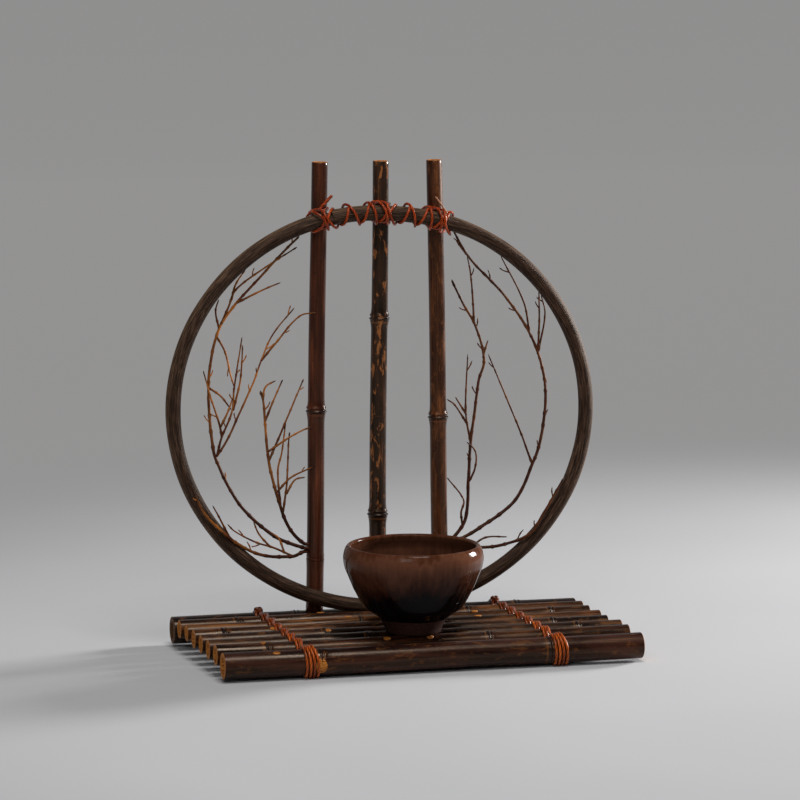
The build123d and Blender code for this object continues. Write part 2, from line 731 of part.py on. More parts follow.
# Bowl: a turned stoneware bowl with an inturned lip and a foot ring
bowl_floor_height = bowl_foot_recess_depth + bowl_floor
with BuildPart() as bowl:
    bowl_foot = (bowl_place[0], raft_middle + bowl_place[1], raft_top + bowl_seat_gap)
    with BuildSketch(Plane(origin=bowl_foot, x_dir=(1, 0, 0), z_dir=(0, -1, 0))):
        with BuildLine():
            Polyline(
                (0, bowl_foot_recess_depth),
                (bowl_foot_recess_radius, bowl_foot_recess_depth),
                (bowl_foot_recess_radius, 0),
                (bowl_foot_radius, 0),
                (bowl_waist_radius, bowl_waist_height),
            )
            Spline(
                (bowl_waist_radius, bowl_waist_height),
                (bowl_shoulder_radius, bowl_shoulder_height),
                (bowl_flank_radius, bowl_flank_height),
                (bowl_belly_radius, bowl_belly_height),
                (bowl_rim_radius, bowl_height - bowl_lip_radius),
            )
            Polyline(
                (bowl_rim_radius, bowl_height - bowl_lip_radius),
                (bowl_rim_radius - bowl_lip_radius / 2, bowl_height),
                (bowl_rim_radius - bowl_lip_radius * 3 / 2, bowl_height),
                (bowl_rim_radius - 2 * bowl_lip_radius, bowl_height - bowl_lip_radius),
            )
            Spline(
                (bowl_rim_radius - 2 * bowl_lip_radius, bowl_height - bowl_lip_radius),
                (bowl_belly_radius - bowl_wall, bowl_belly_height),
                (bowl_flank_radius - bowl_wall, bowl_flank_height),
                (bowl_shoulder_radius - bowl_wall, bowl_shoulder_height),
            )
            Polyline(
                (bowl_shoulder_radius - bowl_wall, bowl_shoulder_height),
                (bowl_waist_radius, bowl_waist_height + bowl_floor_wall_share * bowl_wall),
                (bowl_floor_radius, bowl_floor_height),
                (0, bowl_floor_height),
                (0, bowl_foot_recess_depth),
            )
        make_face()
    revolve(axis=Axis(bowl_foot, (0, 0, 1)))
save(bowl, "bowl")
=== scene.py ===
# %% [markdown]
# # A bamboo vase on a raft
# This is a small table vase: a raft of bamboo poles tied with waxed cord, three bamboo
# uprights, an oval hoop of bent cane, sprays of dried twigs and a loose glazed bowl. The
# solid model of every piece is loaded first and stays where it is. Each step then gives one
# kind of piece its real surface in the same place: round, finely shaped and with its own
# grain, glaze or bark.

# %% Load the solid model
from math import acos, atan2, cos, hypot, pi, radians, sin

import bpy
import numpy as np
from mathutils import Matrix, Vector


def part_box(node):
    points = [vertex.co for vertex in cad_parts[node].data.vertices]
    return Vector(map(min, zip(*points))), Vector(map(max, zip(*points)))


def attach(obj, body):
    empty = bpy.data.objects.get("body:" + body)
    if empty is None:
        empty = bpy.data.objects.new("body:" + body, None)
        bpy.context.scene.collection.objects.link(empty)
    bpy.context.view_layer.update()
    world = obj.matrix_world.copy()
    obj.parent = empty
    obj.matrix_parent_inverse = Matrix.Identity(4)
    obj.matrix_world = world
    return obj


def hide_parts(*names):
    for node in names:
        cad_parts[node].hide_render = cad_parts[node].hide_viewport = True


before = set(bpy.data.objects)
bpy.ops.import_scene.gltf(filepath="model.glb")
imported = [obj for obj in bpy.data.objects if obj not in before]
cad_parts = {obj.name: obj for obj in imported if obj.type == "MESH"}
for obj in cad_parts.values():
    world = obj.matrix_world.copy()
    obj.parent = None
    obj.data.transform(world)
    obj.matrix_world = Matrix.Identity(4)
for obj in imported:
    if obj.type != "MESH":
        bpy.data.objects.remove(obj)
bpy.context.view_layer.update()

mm = 0.001

# %% [markdown]
# ## One way to make every surface
# A pole, a cord, a twig and a bowl are all rings of points carried along a line. The rings
# could be extruded by hand or with a curve's bevel, but worked out as one array they can
# swell at a node, lie flat on a table or change into another section on the way. A shell
# also keeps, at each point, where it would lie if the piece were straightened. A finish that
# reads this place follows the bend of the hoop or cord, which a flat projection can't do.


# %% A closed shell from rings of points
def shell(rings, **marks):
    """Rings is an array of rows by columns by 3. Corner (i, j) joins (i, j+1), (i+1, j+1) and
    (i+1, j), with the last column joined to the first, and a fan from the mean point of the
    first and last ring closes the ends. Each mark is an array of rows by columns."""
    rows, columns = rings.shape[:2]
    here = np.arange(rows - 1)[:, None] * columns + np.arange(columns)
    beside = np.arange(rows - 1)[:, None] * columns + (np.arange(columns) + 1) % columns
    sides = np.stack([here, beside, beside + columns, here + columns], -1).reshape(-1, 4)
    edge = np.arange(columns)
    following = (edge + 1) % columns
    last = (rows - 1) * columns
    start = np.stack([np.full(columns, rows * columns), following, edge], -1)
    end = np.stack([np.full(columns, rows * columns + 1), last + edge, last + following], -1)
    points = np.concatenate([rings.reshape(-1, 3), rings[[0, -1]].mean(1)])
    kept = {}
    for name, mark in marks.items():
        mark = np.broadcast_to(mark, (rows, columns) + mark.shape[2:])
        flat = mark.reshape((rows * columns,) + mark.shape[2:])
        kept[name] = np.concatenate([flat, mark[[0, -1]].mean(1)])
    return {"points": points, "sides": sides, "ends": np.concatenate([start, end]), "marks": kept}


def into_scene(name, data):
    """A new object at the origin that shows this mesh, lamp or camera."""
    made = bpy.data.objects.new(name, data)
    bpy.context.scene.collection.objects.link(made)
    return made


def piece(name, shells, replaced, finish, body="stand"):
    """Joins shells into one mesh object with one finish, which rides on a body and stands for
    solids."""
    starts = np.cumsum([0] + [len(part["points"]) for part in shells[:-1]])
    faces = []
    for start, part in zip(starts, shells):
        faces += (part["sides"] + start).tolist() + (part["ends"] + start).tolist()
    mesh = bpy.data.meshes.new(name)
    points = np.concatenate([part["points"] for part in shells])
    mesh.from_pydata(points.tolist(), [], faces)
    mesh.polygons.foreach_set("use_smooth", np.ones(len(faces), bool))
    for mark in shells[0]["marks"]:
        values = np.concatenate([part["marks"][mark] for part in shells]).astype(np.float32)
        kind, socket = ("FLOAT_VECTOR", "vector") if values.ndim == 2 else ("FLOAT", "value")
        mesh.attributes.new(mark, kind, "POINT").data.foreach_set(socket, values.ravel())
    mesh.materials.append(finish)
    made = into_scene(name, mesh)
    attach(made, body)
    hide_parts(*replaced)
    print(name, len(points), "points", len(faces), "faces")


# %% Rings along a line
around = np.linspace(0, 2 * pi, 48, endpoint=False)


def unit(vectors):
    """Each vector divided by its length."""
    return vectors / np.linalg.norm(vectors, axis=-1, keepdims=True)


def rings_along(line, across, aside, radii, turns):
    """Ring point = line point + radius times (cosine of the turn times across + sine of the
    turn times aside)."""
    swing = np.cos(turns)[None, :, None] * across[:, None, :]
    lift = np.sin(turns)[None, :, None] * aside[:, None, :]
    return line[:, None, :] + radii[..., None] * (swing + lift)


def straightened(along, radii, turns):
    """The place of each ring point on the straightened piece: its distance along, then the
    radius times the cosine and the sine of its turn."""
    ahead = np.broadcast_to(along[:, None], radii.shape)
    return np.stack([ahead, radii * np.cos(turns), radii * np.sin(turns)], -1)


# %% [markdown]
# ## The colour and gloss of each piece
# Bamboo, cane, cord, bark and glaze are built from a few texture nodes each. A picture
# could be wrapped round them instead, but noise that is stretched along the grain gives
# streaks without a seam or a repeat. A short helper adds one node and joins its inputs, so
# that each finish reads like a recipe.


# %% A recipe for a finish
class Finish:
    """A material under construction. Each call adds one node and gives back its output."""

    def __init__(self, name, **constants):
        self.material = bpy.data.materials.new(name)
        self.material.use_nodes = True
        self.nodes = self.material.node_tree.nodes
        self.shader = self.nodes["Principled BSDF"]
        for socket, value in constants.items():
            self.shader.inputs[socket.replace("_", " ")].default_value = value

    def join(self, value, socket):
        if isinstance(value, bpy.types.NodeSocket):
            self.material.node_tree.links.new(value, socket)
        else:
            socket.default_value = value

    def add(self, kind, inputs, output=0, **settings):
        node = self.nodes.new("ShaderNode" + kind)
        for name, value in settings.items():
            setattr(node, name, value)
        for name, value in inputs.items():
            self.join(value, node.inputs[name])
        return node.outputs[output]

    def mark(self, name, output="Vector"):
        return self.add("Attribute", {}, output, attribute_name=name)

    def stretch(self, place, scale, shift=(0, 0, 0)):
        return self.add("Mapping", {"Vector": place, "Scale": scale, "Location": shift})

    def noise(self, place, scale=1.0, detail=3.0, rough=0.55, bend=0.0):
        inputs = {"Vector": place, "Scale": scale, "Detail": detail, "Roughness": rough}
        return self.add("TexNoise", {**inputs, "Distortion": bend})

    def ramp(self, share, *stops):
        output = self.add("ValToRGB", {"Fac": share})
        elements = output.node.color_ramp.elements
        while len(elements) < len(stops):
            elements.new(1.0)
        for element, (place, colour) in zip(elements, stops):
            element.position = place
            element.color = (*colour, 1) if isinstance(colour, tuple) else (colour,) * 3 + (1,)
        return output

    def mix(self, share, first, second):
        inputs = {0: share, 6: first, 7: second}
        for name in (6, 7):
            if isinstance(inputs[name], tuple):
                inputs[name] = (*inputs[name], 1)
        return self.add("Mix", inputs, 2, data_type="RGBA")

    def math(self, operation, *values):
        return self.add("Math", dict(enumerate(values)), operation=operation)

    def bump(self, height, strength, distance, under=None):
        inputs = {"Height": height, "Strength": strength, "Distance": distance}
        if under is not None:
            inputs["Normal"] = under
        return self.add("Bump", inputs)

    def finish(self, colour, roughness, normal=None):
        self.join(colour, self.shader.inputs["Base Color"])
        self.join(roughness, self.shader.inputs["Roughness"])
        if normal is not None:
            self.join(normal, self.shader.inputs["Normal"])
        return self.material


# %% [markdown]
# ## Bamboo
# The poles are thin stems of bamboo, stained dark and waxed. Between nodes the skin is
# straight and shows long fibres. At a node a thin scar runs round the stem, with a groove
# and a low swelling beside it. The cut ends are pale, fibrous and hollow, and nearly black
# on the back rail. A cylinder with a bump map would keep a straight outline, so the outline
# itself carries the nodes here.

# %% The skin and the cut ends of bamboo
bamboo_gloss = 0.26


def bamboo_finish(name, dark, brown, tan, tan_share, shift, mottle=0.0, dark_cut_share=0.0):
    """Skin: long streaks of three browns, a dark line and a pale band at each node, and worn
    tan patches and mottles. Cut ends: orange-tan with dark fibre ends, turned nearly black by
    the dark cut share."""
    made = Finish(name, Coat_Weight=0.06, Coat_Roughness=0.12, Specular_IOR_Level=0.3,
                  Specular_Tint=(1.0, 0.72, 0.50, 1))
    place, cut_mark = made.mark("grain"), made.mark("cut", "Fac")
    fibres = made.noise(made.stretch(place, (26, 900, 900), (shift, 0, 0)), 1, 4, 0.6)
    clouds = made.noise(made.stretch(place, (22, 120, 120), (0, shift, 0)), 1, 3, 0.5, 0.3)
    hairs = made.noise(made.stretch(place, (60, 2600, 2600), (0, 0, shift)), 1, 2, 0.5)
    blend = made.mix(0.6, fibres, clouds)
    body = made.mix(made.ramp(blend, (0.42, 0.0), (0.60, 1.0)), dark, brown)
    both = made.math("MULTIPLY", fibres, clouds)
    worn = made.ramp(both, (0.40 - tan_share * 0.17, 0.0), (0.54 - tan_share * 0.17, 0.8))
    skin = made.mix(worn, body, tan)
    spots = made.noise(made.stretch(place, (90, 230, 230), (0, shift, 0)), 1, 4, 0.65, 0.6)
    skin = made.mix(made.ramp(spots, (0.56, 0.0), (0.62, mottle)), skin, tan)
    specks = made.noise(made.stretch(place, (300, 700, 700)), 1, 2, 0.6)
    skin = made.mix(made.ramp(specks, (0.63, 0.0), (0.70, 0.75)), skin, (0.012, 0.008, 0.007))
    node = made.mark("node", "Fac")
    skin = made.mix(made.ramp(node, (0.40, 0.0), (0.47, 0.85), (0.53, 0.85), (0.60, 0.0)),
                    skin, (0.014, 0.008, 0.007))
    skin = made.mix(made.ramp(node, (0.28, 0.0), (0.34, 0.45), (0.39, 0.0)), skin, tan)
    ends = made.noise(made.stretch(place, (200, 1500, 1500)), 1, 3, 0.7)
    cut = made.ramp(ends, (0.36, (0.16, 0.045, 0.008)), (0.52, (0.50, 0.17, 0.028)),
                    (0.68, (0.72, 0.31, 0.06)))
    # The cut ends turn nearly black by the dark cut share, which only the back rail has.
    cut = made.mix(made.ramp(ends, (0.40, dark_cut_share), (0.70, dark_cut_share * 0.8)), cut, (0.022, 0.012, 0.008))
    shade = made.mix(cut_mark, skin, cut)
    rough = made.ramp(clouds, (0.3, bamboo_gloss - 0.10), (0.7, bamboo_gloss + 0.14))
    rough = made.mix(cut_mark, rough, (0.8, 0.8, 0.8))
    relief = made.bump(hairs, 0.12, 0.0003)
    relief = made.bump(fibres, 0.18, 0.0005, relief)
    return made.finish(shade, rough, relief)


# %% The outline of a node
ring_stand, grain_offset = 0.35, 0.07


def node_swell(distance, ridge, swell):
    """Height of the skin over its plain radius at a distance from a node, in millimetres: a
    sharp ridge, a groove behind it and a broad low swelling, each a bell curve."""
    scar = ridge * np.exp(-((distance / 0.55) ** 2))
    groove = -0.5 * ridge * np.exp(-(((distance - 1.3) / 0.6) ** 2))
    second = 0.6 * ridge * np.exp(-(((distance - 2.6) / 0.9) ** 2))
    broad = swell * np.exp(-((distance / 4.5) ** 2))
    return scar + groove + second + broad


def stations(first, last, nodes, step=2.5):
    """Distances along a pole, every step and close together at each node."""
    fine = [node + np.linspace(-8, 8, 41) for node in nodes]
    every = np.arange(first, last, step)
    places = np.unique(np.concatenate([every, [last], *fine]))
    return places[(places >= first) & (places <= last)]


def nearest_node(along, nodes):
    """Signed distance to the nearest node, as 0.5 at the node and 0 to 1 over 16 mm."""
    if not len(nodes):
        return np.zeros_like(along)
    gaps = along[:, None] - np.array(nodes)[None, :]
    nearest = gaps[np.arange(len(along)), np.abs(gaps).argmin(1)]
    return np.clip(0.5 + nearest / 16, 0, 1)


def bamboo_marks(along, radii, nodes, cut, shift):
    """What the finish reads at each ring: the straightened place, moved along by a step of its
    own for each pole, the distance to the nearest node, and 1 on the cut ends."""
    grain = straightened(along, radii, around) * mm + shift * grain_offset
    return {"grain": grain, "node": nearest_node(along, nodes)[:, None], "cut": cut[:, None]}


# %% A raft pole from its solid's box
def raft_pole(name, node_shares, shift, finish, scars=()):
    """The closed outline (distance along, radius) runs from the middle of the left hollow's
    floor, out over the rim, along the skin and into the right hollow. The line sways by a
    slow sine of 0.3 mm, and the section is oval by eight parts in a thousand."""
    low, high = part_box(name)
    radius = (high.z - low.z) / mm / 2 - ring_stand
    half = (high.x - low.x) / mm / 2
    middle = np.array([low.x + high.x, 2 * high.y, low.z + high.z]) / mm / 2
    middle[1] -= radius + ring_stand
    nodes = [share * half for share in node_shares]
    skin = stations(-half + 0.9, half - 0.9, nodes)
    stand = sum((node_swell(skin - node, 0.45, 0.25) for node in nodes), np.zeros_like(skin))
    bore = radius * 0.62
    rim = [(0.0, bore + 0.3), (0.0, radius - 0.7), (0.15, radius - 0.25), (0.45, radius - 0.05)]
    hollow = [(20.0, 0.3), (20.3, bore * 0.6), (19.0, bore * 0.97), (9.0, bore), (0.6, bore - 0.1)]
    left = [(-half + depth, far) for depth, far in hollow + rim]
    right = [(half - depth, far) for depth, far in (hollow + rim)[::-1]]
    along = np.concatenate([[a for a, _ in left], skin, [a for a, _ in right]])
    far = np.concatenate([[r for _, r in left], radius + stand - 0.08, [r for _, r in right]])
    cut = np.zeros_like(along)
    cut[: len(left) - 1] = 1
    cut[-len(right) + 1:] = 1
    radii = far[:, None] * (1 + 0.008 * np.cos(2 * around + shift))
    line = np.zeros((len(along), 3))
    line[:, 0] = along
    line[:, 1] = 0.3 * np.sin(along / 31 + shift)
    line[:, 2] = 0.15 * np.sin(along / 24 + 2 * shift)
    across = np.broadcast_to([0.0, 1.0, 0.0], line.shape)
    aside = np.broadcast_to([0.0, 0.0, 1.0], line.shape)
    points = (rings_along(line, across, aside, radii, around) + middle) * mm
    marks = bamboo_marks(along, radii, nodes, cut, shift)
    skins = [shell(points, **marks)]
    skins += [scar(middle, radius, x - middle[0], *rest) for x, *rest in scars]
    piece("bamboo_" + name, skins, [name], finish)


def scar(middle, radius, along, turn, long, wide):
    """The oval stub of a cut bud on a pole. Rings grow from the middle of its flat top to its
    foot under the skin: half the length times the cosine along the pole, half the width times
    the sine round it, and the height above the pole's round."""
    shares = np.array([0.05, 0.5, 0.85, 0.97, 1.05])[:, None]
    heights = np.array([0.12 * long, 0.12 * long, 0.11 * long, 0.06 * long, -0.8])[:, None]
    out = np.array([0, cos(radians(turn)), sin(radians(turn))])
    side = np.cross([1.0, 0, 0], out)
    turns = np.linspace(0, 2 * pi, 28, endpoint=False)
    length = along + shares * long / 2 * np.cos(turns)
    spread = shares * wide / 2 * np.sin(turns)
    lift = np.sqrt(np.maximum(radius**2 - spread**2, 0)) - 0.1 + heights
    points = length[..., None] * [1.0, 0, 0] + spread[..., None] * side + lift[..., None] * out
    cut = np.array([1, 1, 1, 0.6, 0.0])[:, None]
    marks = {"grain": points * mm, "node": np.zeros((5, 1)), "cut": cut}
    return shell((points + middle)[:, ::-1] * mm, **{k: v[:, ::-1] for k, v in marks.items()})


# %% The raft's two rails and six slats
raft_poles = {
    "front_rail": ((-0.547, 0.545), 0.3, (0.013, 0.005, 0.004), (0.050, 0.015, 0.009), 0.10),
    "slat_6": ((-0.76, 0.31), 1.1, (0.010, 0.004, 0.003), (0.056, 0.017, 0.006), 0.50),
    "slat_5": ((-0.24, 0.78), 1.9, (0.008, 0.004, 0.003), (0.036, 0.013, 0.006), 0.40),
    "slat_4": ((-0.40, 0.72), 2.6, (0.008, 0.004, 0.003), (0.036, 0.012, 0.006), 0.40),
    "slat_3": ((-0.86, 0.21), 3.3, (0.012, 0.005, 0.003), (0.072, 0.022, 0.007), 0.65),
    "slat_2": ((-0.15, 0.80), 4.1, (0.018, 0.006, 0.003), (0.110, 0.036, 0.009), 0.85),
    "slat_1": ((-0.72, 0.42), 4.9, (0.012, 0.005, 0.003), (0.070, 0.022, 0.007), 0.65),
    "back_rail": ((-0.400, 0.700), 5.7, (0.006, 0.004, 0.004), (0.022, 0.011, 0.008), 0.10),
}
bud_scars = {
    "front_rail": ((-75.4, 190, 8.6, 11.8), (-106.0, 118, 5.5, 3.0)),
    "slat_6": ((-23.1, 118, 5.4, 4.0), (7.6, 122, 5.0, 4.0), (-110.5, 100, 4.6, 3.2)),
    "slat_4": ((-56.5, 118, 5.0, 3.6),),
    "slat_3": ((58.7, 90, 5.6, 4.0), (-92.0, 125, 4.6, 3.2)),
    "slat_2": ((-32.0, 80, 5.6, 4.0), (61.0, 100, 5.0, 3.4)),
    "slat_1": ((-47.5, 76, 6.0, 4.4),),
}
for name, (node_shares, shift, dark, brown, tan_share) in raft_poles.items():
    # Only the back rail's cut ends are darkened nearly black.
    dark_cut_share = 0.9 if name == "back_rail" else 0.0
    finish = bamboo_finish(name + "_skin", dark, brown, (0.27, 0.095, 0.022), tan_share, shift,
                           0.25, dark_cut_share)
    raft_pole(name, node_shares, shift, finish, bud_scars.get(name, ()))

# %% [markdown]
# ## The uprights
# Three thinner bamboo stems stand in the back rail, each with one or two clear nodes and
# its own colour: deep red-brown, nearly black with tan marks, and brown. They end in an
# open, sawn top. Their feet are cut to the round of the rail, so the first rings are lifted
# onto the rail's surface, and the lift fades out over the next 25 mm.

# %% Sizes that the upper pieces share
upright_base_y, upright_top_y, upright_top = 70.805, 70.705, 344.6
upright_feet = {"upright_left": -47.7, "upright_middle": -0.9, "upright_right": 47.1}
upright_tips = {"upright_left": -43.0, "upright_middle": 1.9, "upright_right": 41.6}
back_rail_y, back_rail_height, back_rail_radius = 68.6, 11.5, 9.85
foot_radius, tip_radius = 6.2, 5.65


# %% An upright
def upright(name, node_shares, shift, finish, faint=None):
    """The line is straight from foot to tip, with a sway of 0.35 mm. Radius = a straight taper
    plus the node swellings, of which a faint one has a quarter of the height and no colours.
    Height of the foot = the rail's round at that depth."""
    foot = np.array([upright_feet[name], upright_base_y, back_rail_height])
    tip = np.array([upright_tips[name], upright_top_y, upright_top])
    length = np.linalg.norm(tip - foot)
    way = (tip - foot) / length
    nodes = [share * length for share in node_shares]
    low_node = [] if faint is None else [faint * length]
    skin = stations(8.0, length - 0.7, nodes + low_node)
    radius = foot_radius + (tip_radius - foot_radius) * skin / length
    radius = radius + sum(node_swell(skin - node, 0.75, 0.95) for node in nodes)
    radius = radius + sum(node_swell(skin - node, 0.75, 0.95) / 4 for node in low_node)
    bore = tip_radius - 2.4
    top = [(0.25, tip_radius - 0.2), (0.0, tip_radius - 0.6), (0.0, bore + 0.3), (0.5, bore)]
    top += [(7.0, bore), (8.6, bore * 0.9), (8.8, bore * 0.4), (8.4, 0.2)]
    along = np.concatenate([skin, [length - depth for depth, _ in top]])
    far = np.concatenate([radius, [reach for _, reach in top]])
    cut = np.zeros_like(along)
    cut[-len(top) + 1:] = 1
    radii = far[:, None] * (1 + 0.012 * np.cos(2 * around + shift))
    across = np.cross(way, [0.0, 1.0, 0.0])
    across = np.broadcast_to(across / np.linalg.norm(across), (len(along), 3))
    aside = np.cross(np.broadcast_to(way, across.shape), across)
    line = foot + along[:, None] * way
    line[:, 0] += 0.35 * np.sin(along / 45 + shift)
    points = rings_along(line, across, aside, radii, around)
    depth = np.clip(points[..., 1] - back_rail_y, -back_rail_radius, back_rail_radius)
    saddle = back_rail_height + np.sqrt(back_rail_radius**2 - depth**2) - 0.15
    fade = np.clip(1 - (along - skin[0]) / 25, 0, 1)[:, None] ** 2
    points[..., 2] += (saddle - line[0, 2]) * fade
    marks = bamboo_marks(along, radii, nodes, cut, shift)
    piece("bamboo_" + name, [shell(points * mm, **marks)], [name], finish)


# %% The three uprights
red_brown_bamboo = bamboo_finish("red_brown_bamboo", (0.034, 0.009, 0.005),
                                 (0.105, 0.027, 0.012), (0.24, 0.065, 0.022), 0.30, 0.4)
black_bamboo = bamboo_finish("black_bamboo", (0.011, 0.007, 0.005),
                             (0.045, 0.020, 0.012), (0.34, 0.120, 0.035), 0.20, 1.7, 0.95)
brown_bamboo = bamboo_finish("brown_bamboo", (0.032, 0.010, 0.005),
                             (0.105, 0.033, 0.012), (0.26, 0.090, 0.028), 0.45, 2.9, 0.35)
upright("upright_left", (0.463,), 0.4, red_brown_bamboo, faint=0.14)
upright("upright_middle", (0.233, 0.660), 1.7, black_bamboo)
upright("upright_right", (0.13, 0.441), 2.9, brown_bamboo)

# %% [markdown]
# ## The hoop
# One length of cane is bent into an oval. Its two ends are split to half rounds that lie
# over each other at the top, where the cord ties them. The section is a circle whose one
# side is planed away more and more towards each end. A curve with a round bevel couldn't
# change its section, so the rings are worked out from the oval itself.

# %% The oval that the cane follows
hoop_y, hoop_z = 59.005, 166.926
hoop_half_width, hoop_half_height, hoop_lean = 152.6, 142.8, radians(-9.2)
cane_radius, lap_radius, flat_top = 5.3, 5.5, 1.9
lap_left, lap_right, lap_trim, lap_fade, half_split = -38.0, 48.6, 1.2, 0.06, 0.15
hoop_reach = hypot(hoop_half_width * cos(hoop_lean), hoop_half_height * sin(hoop_lean))
hoop_phase = atan2(hoop_half_height * sin(hoop_lean), hoop_half_width * cos(hoop_lean))


def hoop_points(turns):
    """An ellipse turned by its lean: half width times cosine along, half height times sine
    across, less a bell curve at the top, which the cord pulls flat. Gives the points, the way
    ahead and the outward side."""
    turns = np.asarray(turns, float)
    tilt = np.array([[cos(hoop_lean), 0, sin(hoop_lean)], [-sin(hoop_lean), 0, cos(hoop_lean)]])
    flat = np.stack([hoop_half_width * np.cos(turns), hoop_half_height * np.sin(turns)], -1)
    ahead = np.stack([-hoop_half_width * np.sin(turns), hoop_half_height * np.cos(turns)], -1)
    way = unit(ahead @ tilt)
    out = np.stack([way[..., 2], np.zeros_like(turns), -way[..., 0]], -1)
    places = flat @ tilt
    sag = flat_top * np.exp(-(((places[..., 0] - 12) / 55) ** 2)) * (places[..., 2] > 0)
    places[..., 2] -= sag
    return places + [0, hoop_y, hoop_z], way, out


def top_turn(x):
    """The turn at which the oval's upper half passes x."""
    return acos(x / hoop_reach) - hoop_phase


# %% The finish of the cane
def cane_finish():
    """Grey-brown with hair-fine grain along the cane. The outward side gets tan specks, partly
    rubbed skin and partly a painted highlight.
    """
    made = Finish("bent_cane", Specular_IOR_Level=0.15, Specular_Tint=(1.0, 0.80, 0.62, 1))
    place = made.mark("grain")
    grain = made.noise(made.stretch(place, (70, 1500, 1500)), 1, 5, 0.75)
    clouds = made.noise(made.stretch(place, (30, 160, 160)), 1, 3, 0.5, 0.4)
    shade = made.ramp(grain, (0.38, (0.008, 0.005, 0.004)), (0.5, (0.040, 0.022, 0.015)),
                      (0.62, (0.150, 0.085, 0.053)))
    shade = made.mix(made.ramp(clouds, (0.42, 0.0), (0.66, 0.5)), shade, (0.028, 0.013, 0.008))
    # Tan specks on the outward side of the cane: partly rubbed skin, partly a painted highlight.
    out = made.add("SeparateXYZ", {"Vector": place}, 1)
    edge = made.add("MapRange", {"Value": out, "From Min": 0.0028, "From Max": 0.0058})
    rubbed_edge_and_highlight = made.math("MULTIPLY", edge, made.ramp(grain, (0.42, 0.05), (0.64, 0.85)))
    shade = made.mix(rubbed_edge_and_highlight, shade, (0.25, 0.145, 0.080))
    shade = made.mix(made.mark("cut", "Fac"), shade, (0.012, 0.009, 0.008))
    rough = made.ramp(grain, (0.3, 0.42), (0.7, 0.62))
    relief = made.bump(grain, 0.7, 0.0006)
    return made.finish(shade, rough, relief)


# %% The hoop with its two lapped ends
def hoop():
    """Section = a circle, with the outward share of each ring held above half the split on the
    outer end and below minus half the split on the inner end."""
    first = top_turn(lap_right) + lap_trim / hoop_half_width
    last = top_turn(lap_left) + 2 * pi - lap_trim / hoop_half_width
    turns = np.linspace(first, last, 1100)
    line, way, out = hoop_points(turns)
    along = turns * (hoop_half_width + hoop_half_height) / 2
    inner = np.clip((top_turn(lap_left) + lap_fade / 2 - turns) / lap_fade, 0, 1)
    outer = np.clip((turns - (top_turn(lap_right) + 2 * pi - lap_fade / 2)) / lap_fade, 0, 1)
    planed = np.maximum(inner, outer)
    planed = planed * planed * (3 - 2 * planed)
    wobble = 0.10 * np.sin(along / 23) + 0.07 * np.sin(along / 9.5 + 1)
    radius = cane_radius + wobble + (lap_radius - cane_radius) * planed
    outward = radius[:, None] * np.cos(around)
    floor = (-radius - 1) * (1 - planed) + half_split * planed
    held = np.maximum(outward, floor[:, None])
    held_in = np.minimum(outward, -floor[:, None])
    outward = np.where((inner > 0)[:, None], held_in, np.where((outer > 0)[:, None], held, outward))
    sideways = radius[:, None] * np.sin(around)
    depth = np.cross(way, out)
    points = line[:, None] + outward[..., None] * out[:, None]
    points = points + sideways[..., None] * depth[:, None]
    grain = np.stack([np.broadcast_to(along[:, None], outward.shape), outward, sideways], -1)
    cut = np.zeros((len(turns), 1))
    cut[[0, -1]] = 1
    cane = shell(points * mm, grain=grain * mm, cut=cut)
    piece("cane_hoop", [cane], ["hoop"], cane_finish())


hoop()

# %% [markdown]
# ## The cord
# A waxed cord about two millimetres thick ties everything. It is wound round each pole,
# crosses over the raft from pole to pole, and runs along the hoop and back over its own
# turns. Its line is given by a few places and directions, four to a turn, with a smooth
# cubic between them. The strands twist round each other, which shows as slanting grooves.


# %% A smooth line through places and directions
def smooth_line(places, ways, steps=16):
    """Cubic between neighbours: each end pulls along its direction by the distance times 2 tan
    of a quarter of the bend over sin of half of it, which makes a circle's arc round."""
    places, ways = np.asarray(places, float), unit(np.asarray(ways, float))
    start, end, leave, arrive = places[:-1], places[1:], ways[:-1], ways[1:]
    bend = np.arccos(np.clip((leave * arrive).sum(1), -1, 1)) + 1e-6
    pull = 2 * np.tan(bend / 4) / np.sin(bend / 2) * np.linalg.norm(end - start, axis=1)
    t = np.linspace(0, 1, steps, endpoint=False)[None, :, None]
    line = (2 * t**3 - 3 * t**2 + 1) * start[:, None] + (3 * t**2 - 2 * t**3) * end[:, None]
    line = line + (t**3 - 2 * t**2 + t) * (leave * pull[:, None])[:, None]
    line = line + (t**3 - t**2) * (arrive * pull[:, None])[:, None]
    return np.concatenate([line.reshape(-1, 3), places[-1:]])


def frames_along(line):
    """Directions across a line that don't spin: any square direction at each point, turned
    back by the summed angle between it and its neighbour carried over."""
    way = unit(np.gradient(line, axis=0))
    least = np.eye(3)[np.abs(way).argmin(1)]
    across = unit(least - way * (least * way).sum(1, keepdims=True))
    before, after = way[:-1], way[1:]
    share = (after * across[:-1]).sum(1) / (1 + (before * after).sum(1))
    carried = across[:-1] - share[:, None] * (before + after)
    swing = (np.cross(carried, across[1:]) * after).sum(1)
    spin = np.arctan2(swing, (carried * across[1:]).sum(1))
    spin = np.concatenate([[0], np.cumsum(spin)])[:, None]
    across = across * np.cos(spin) - np.cross(way, across) * np.sin(spin)
    return across, np.cross(way, across)


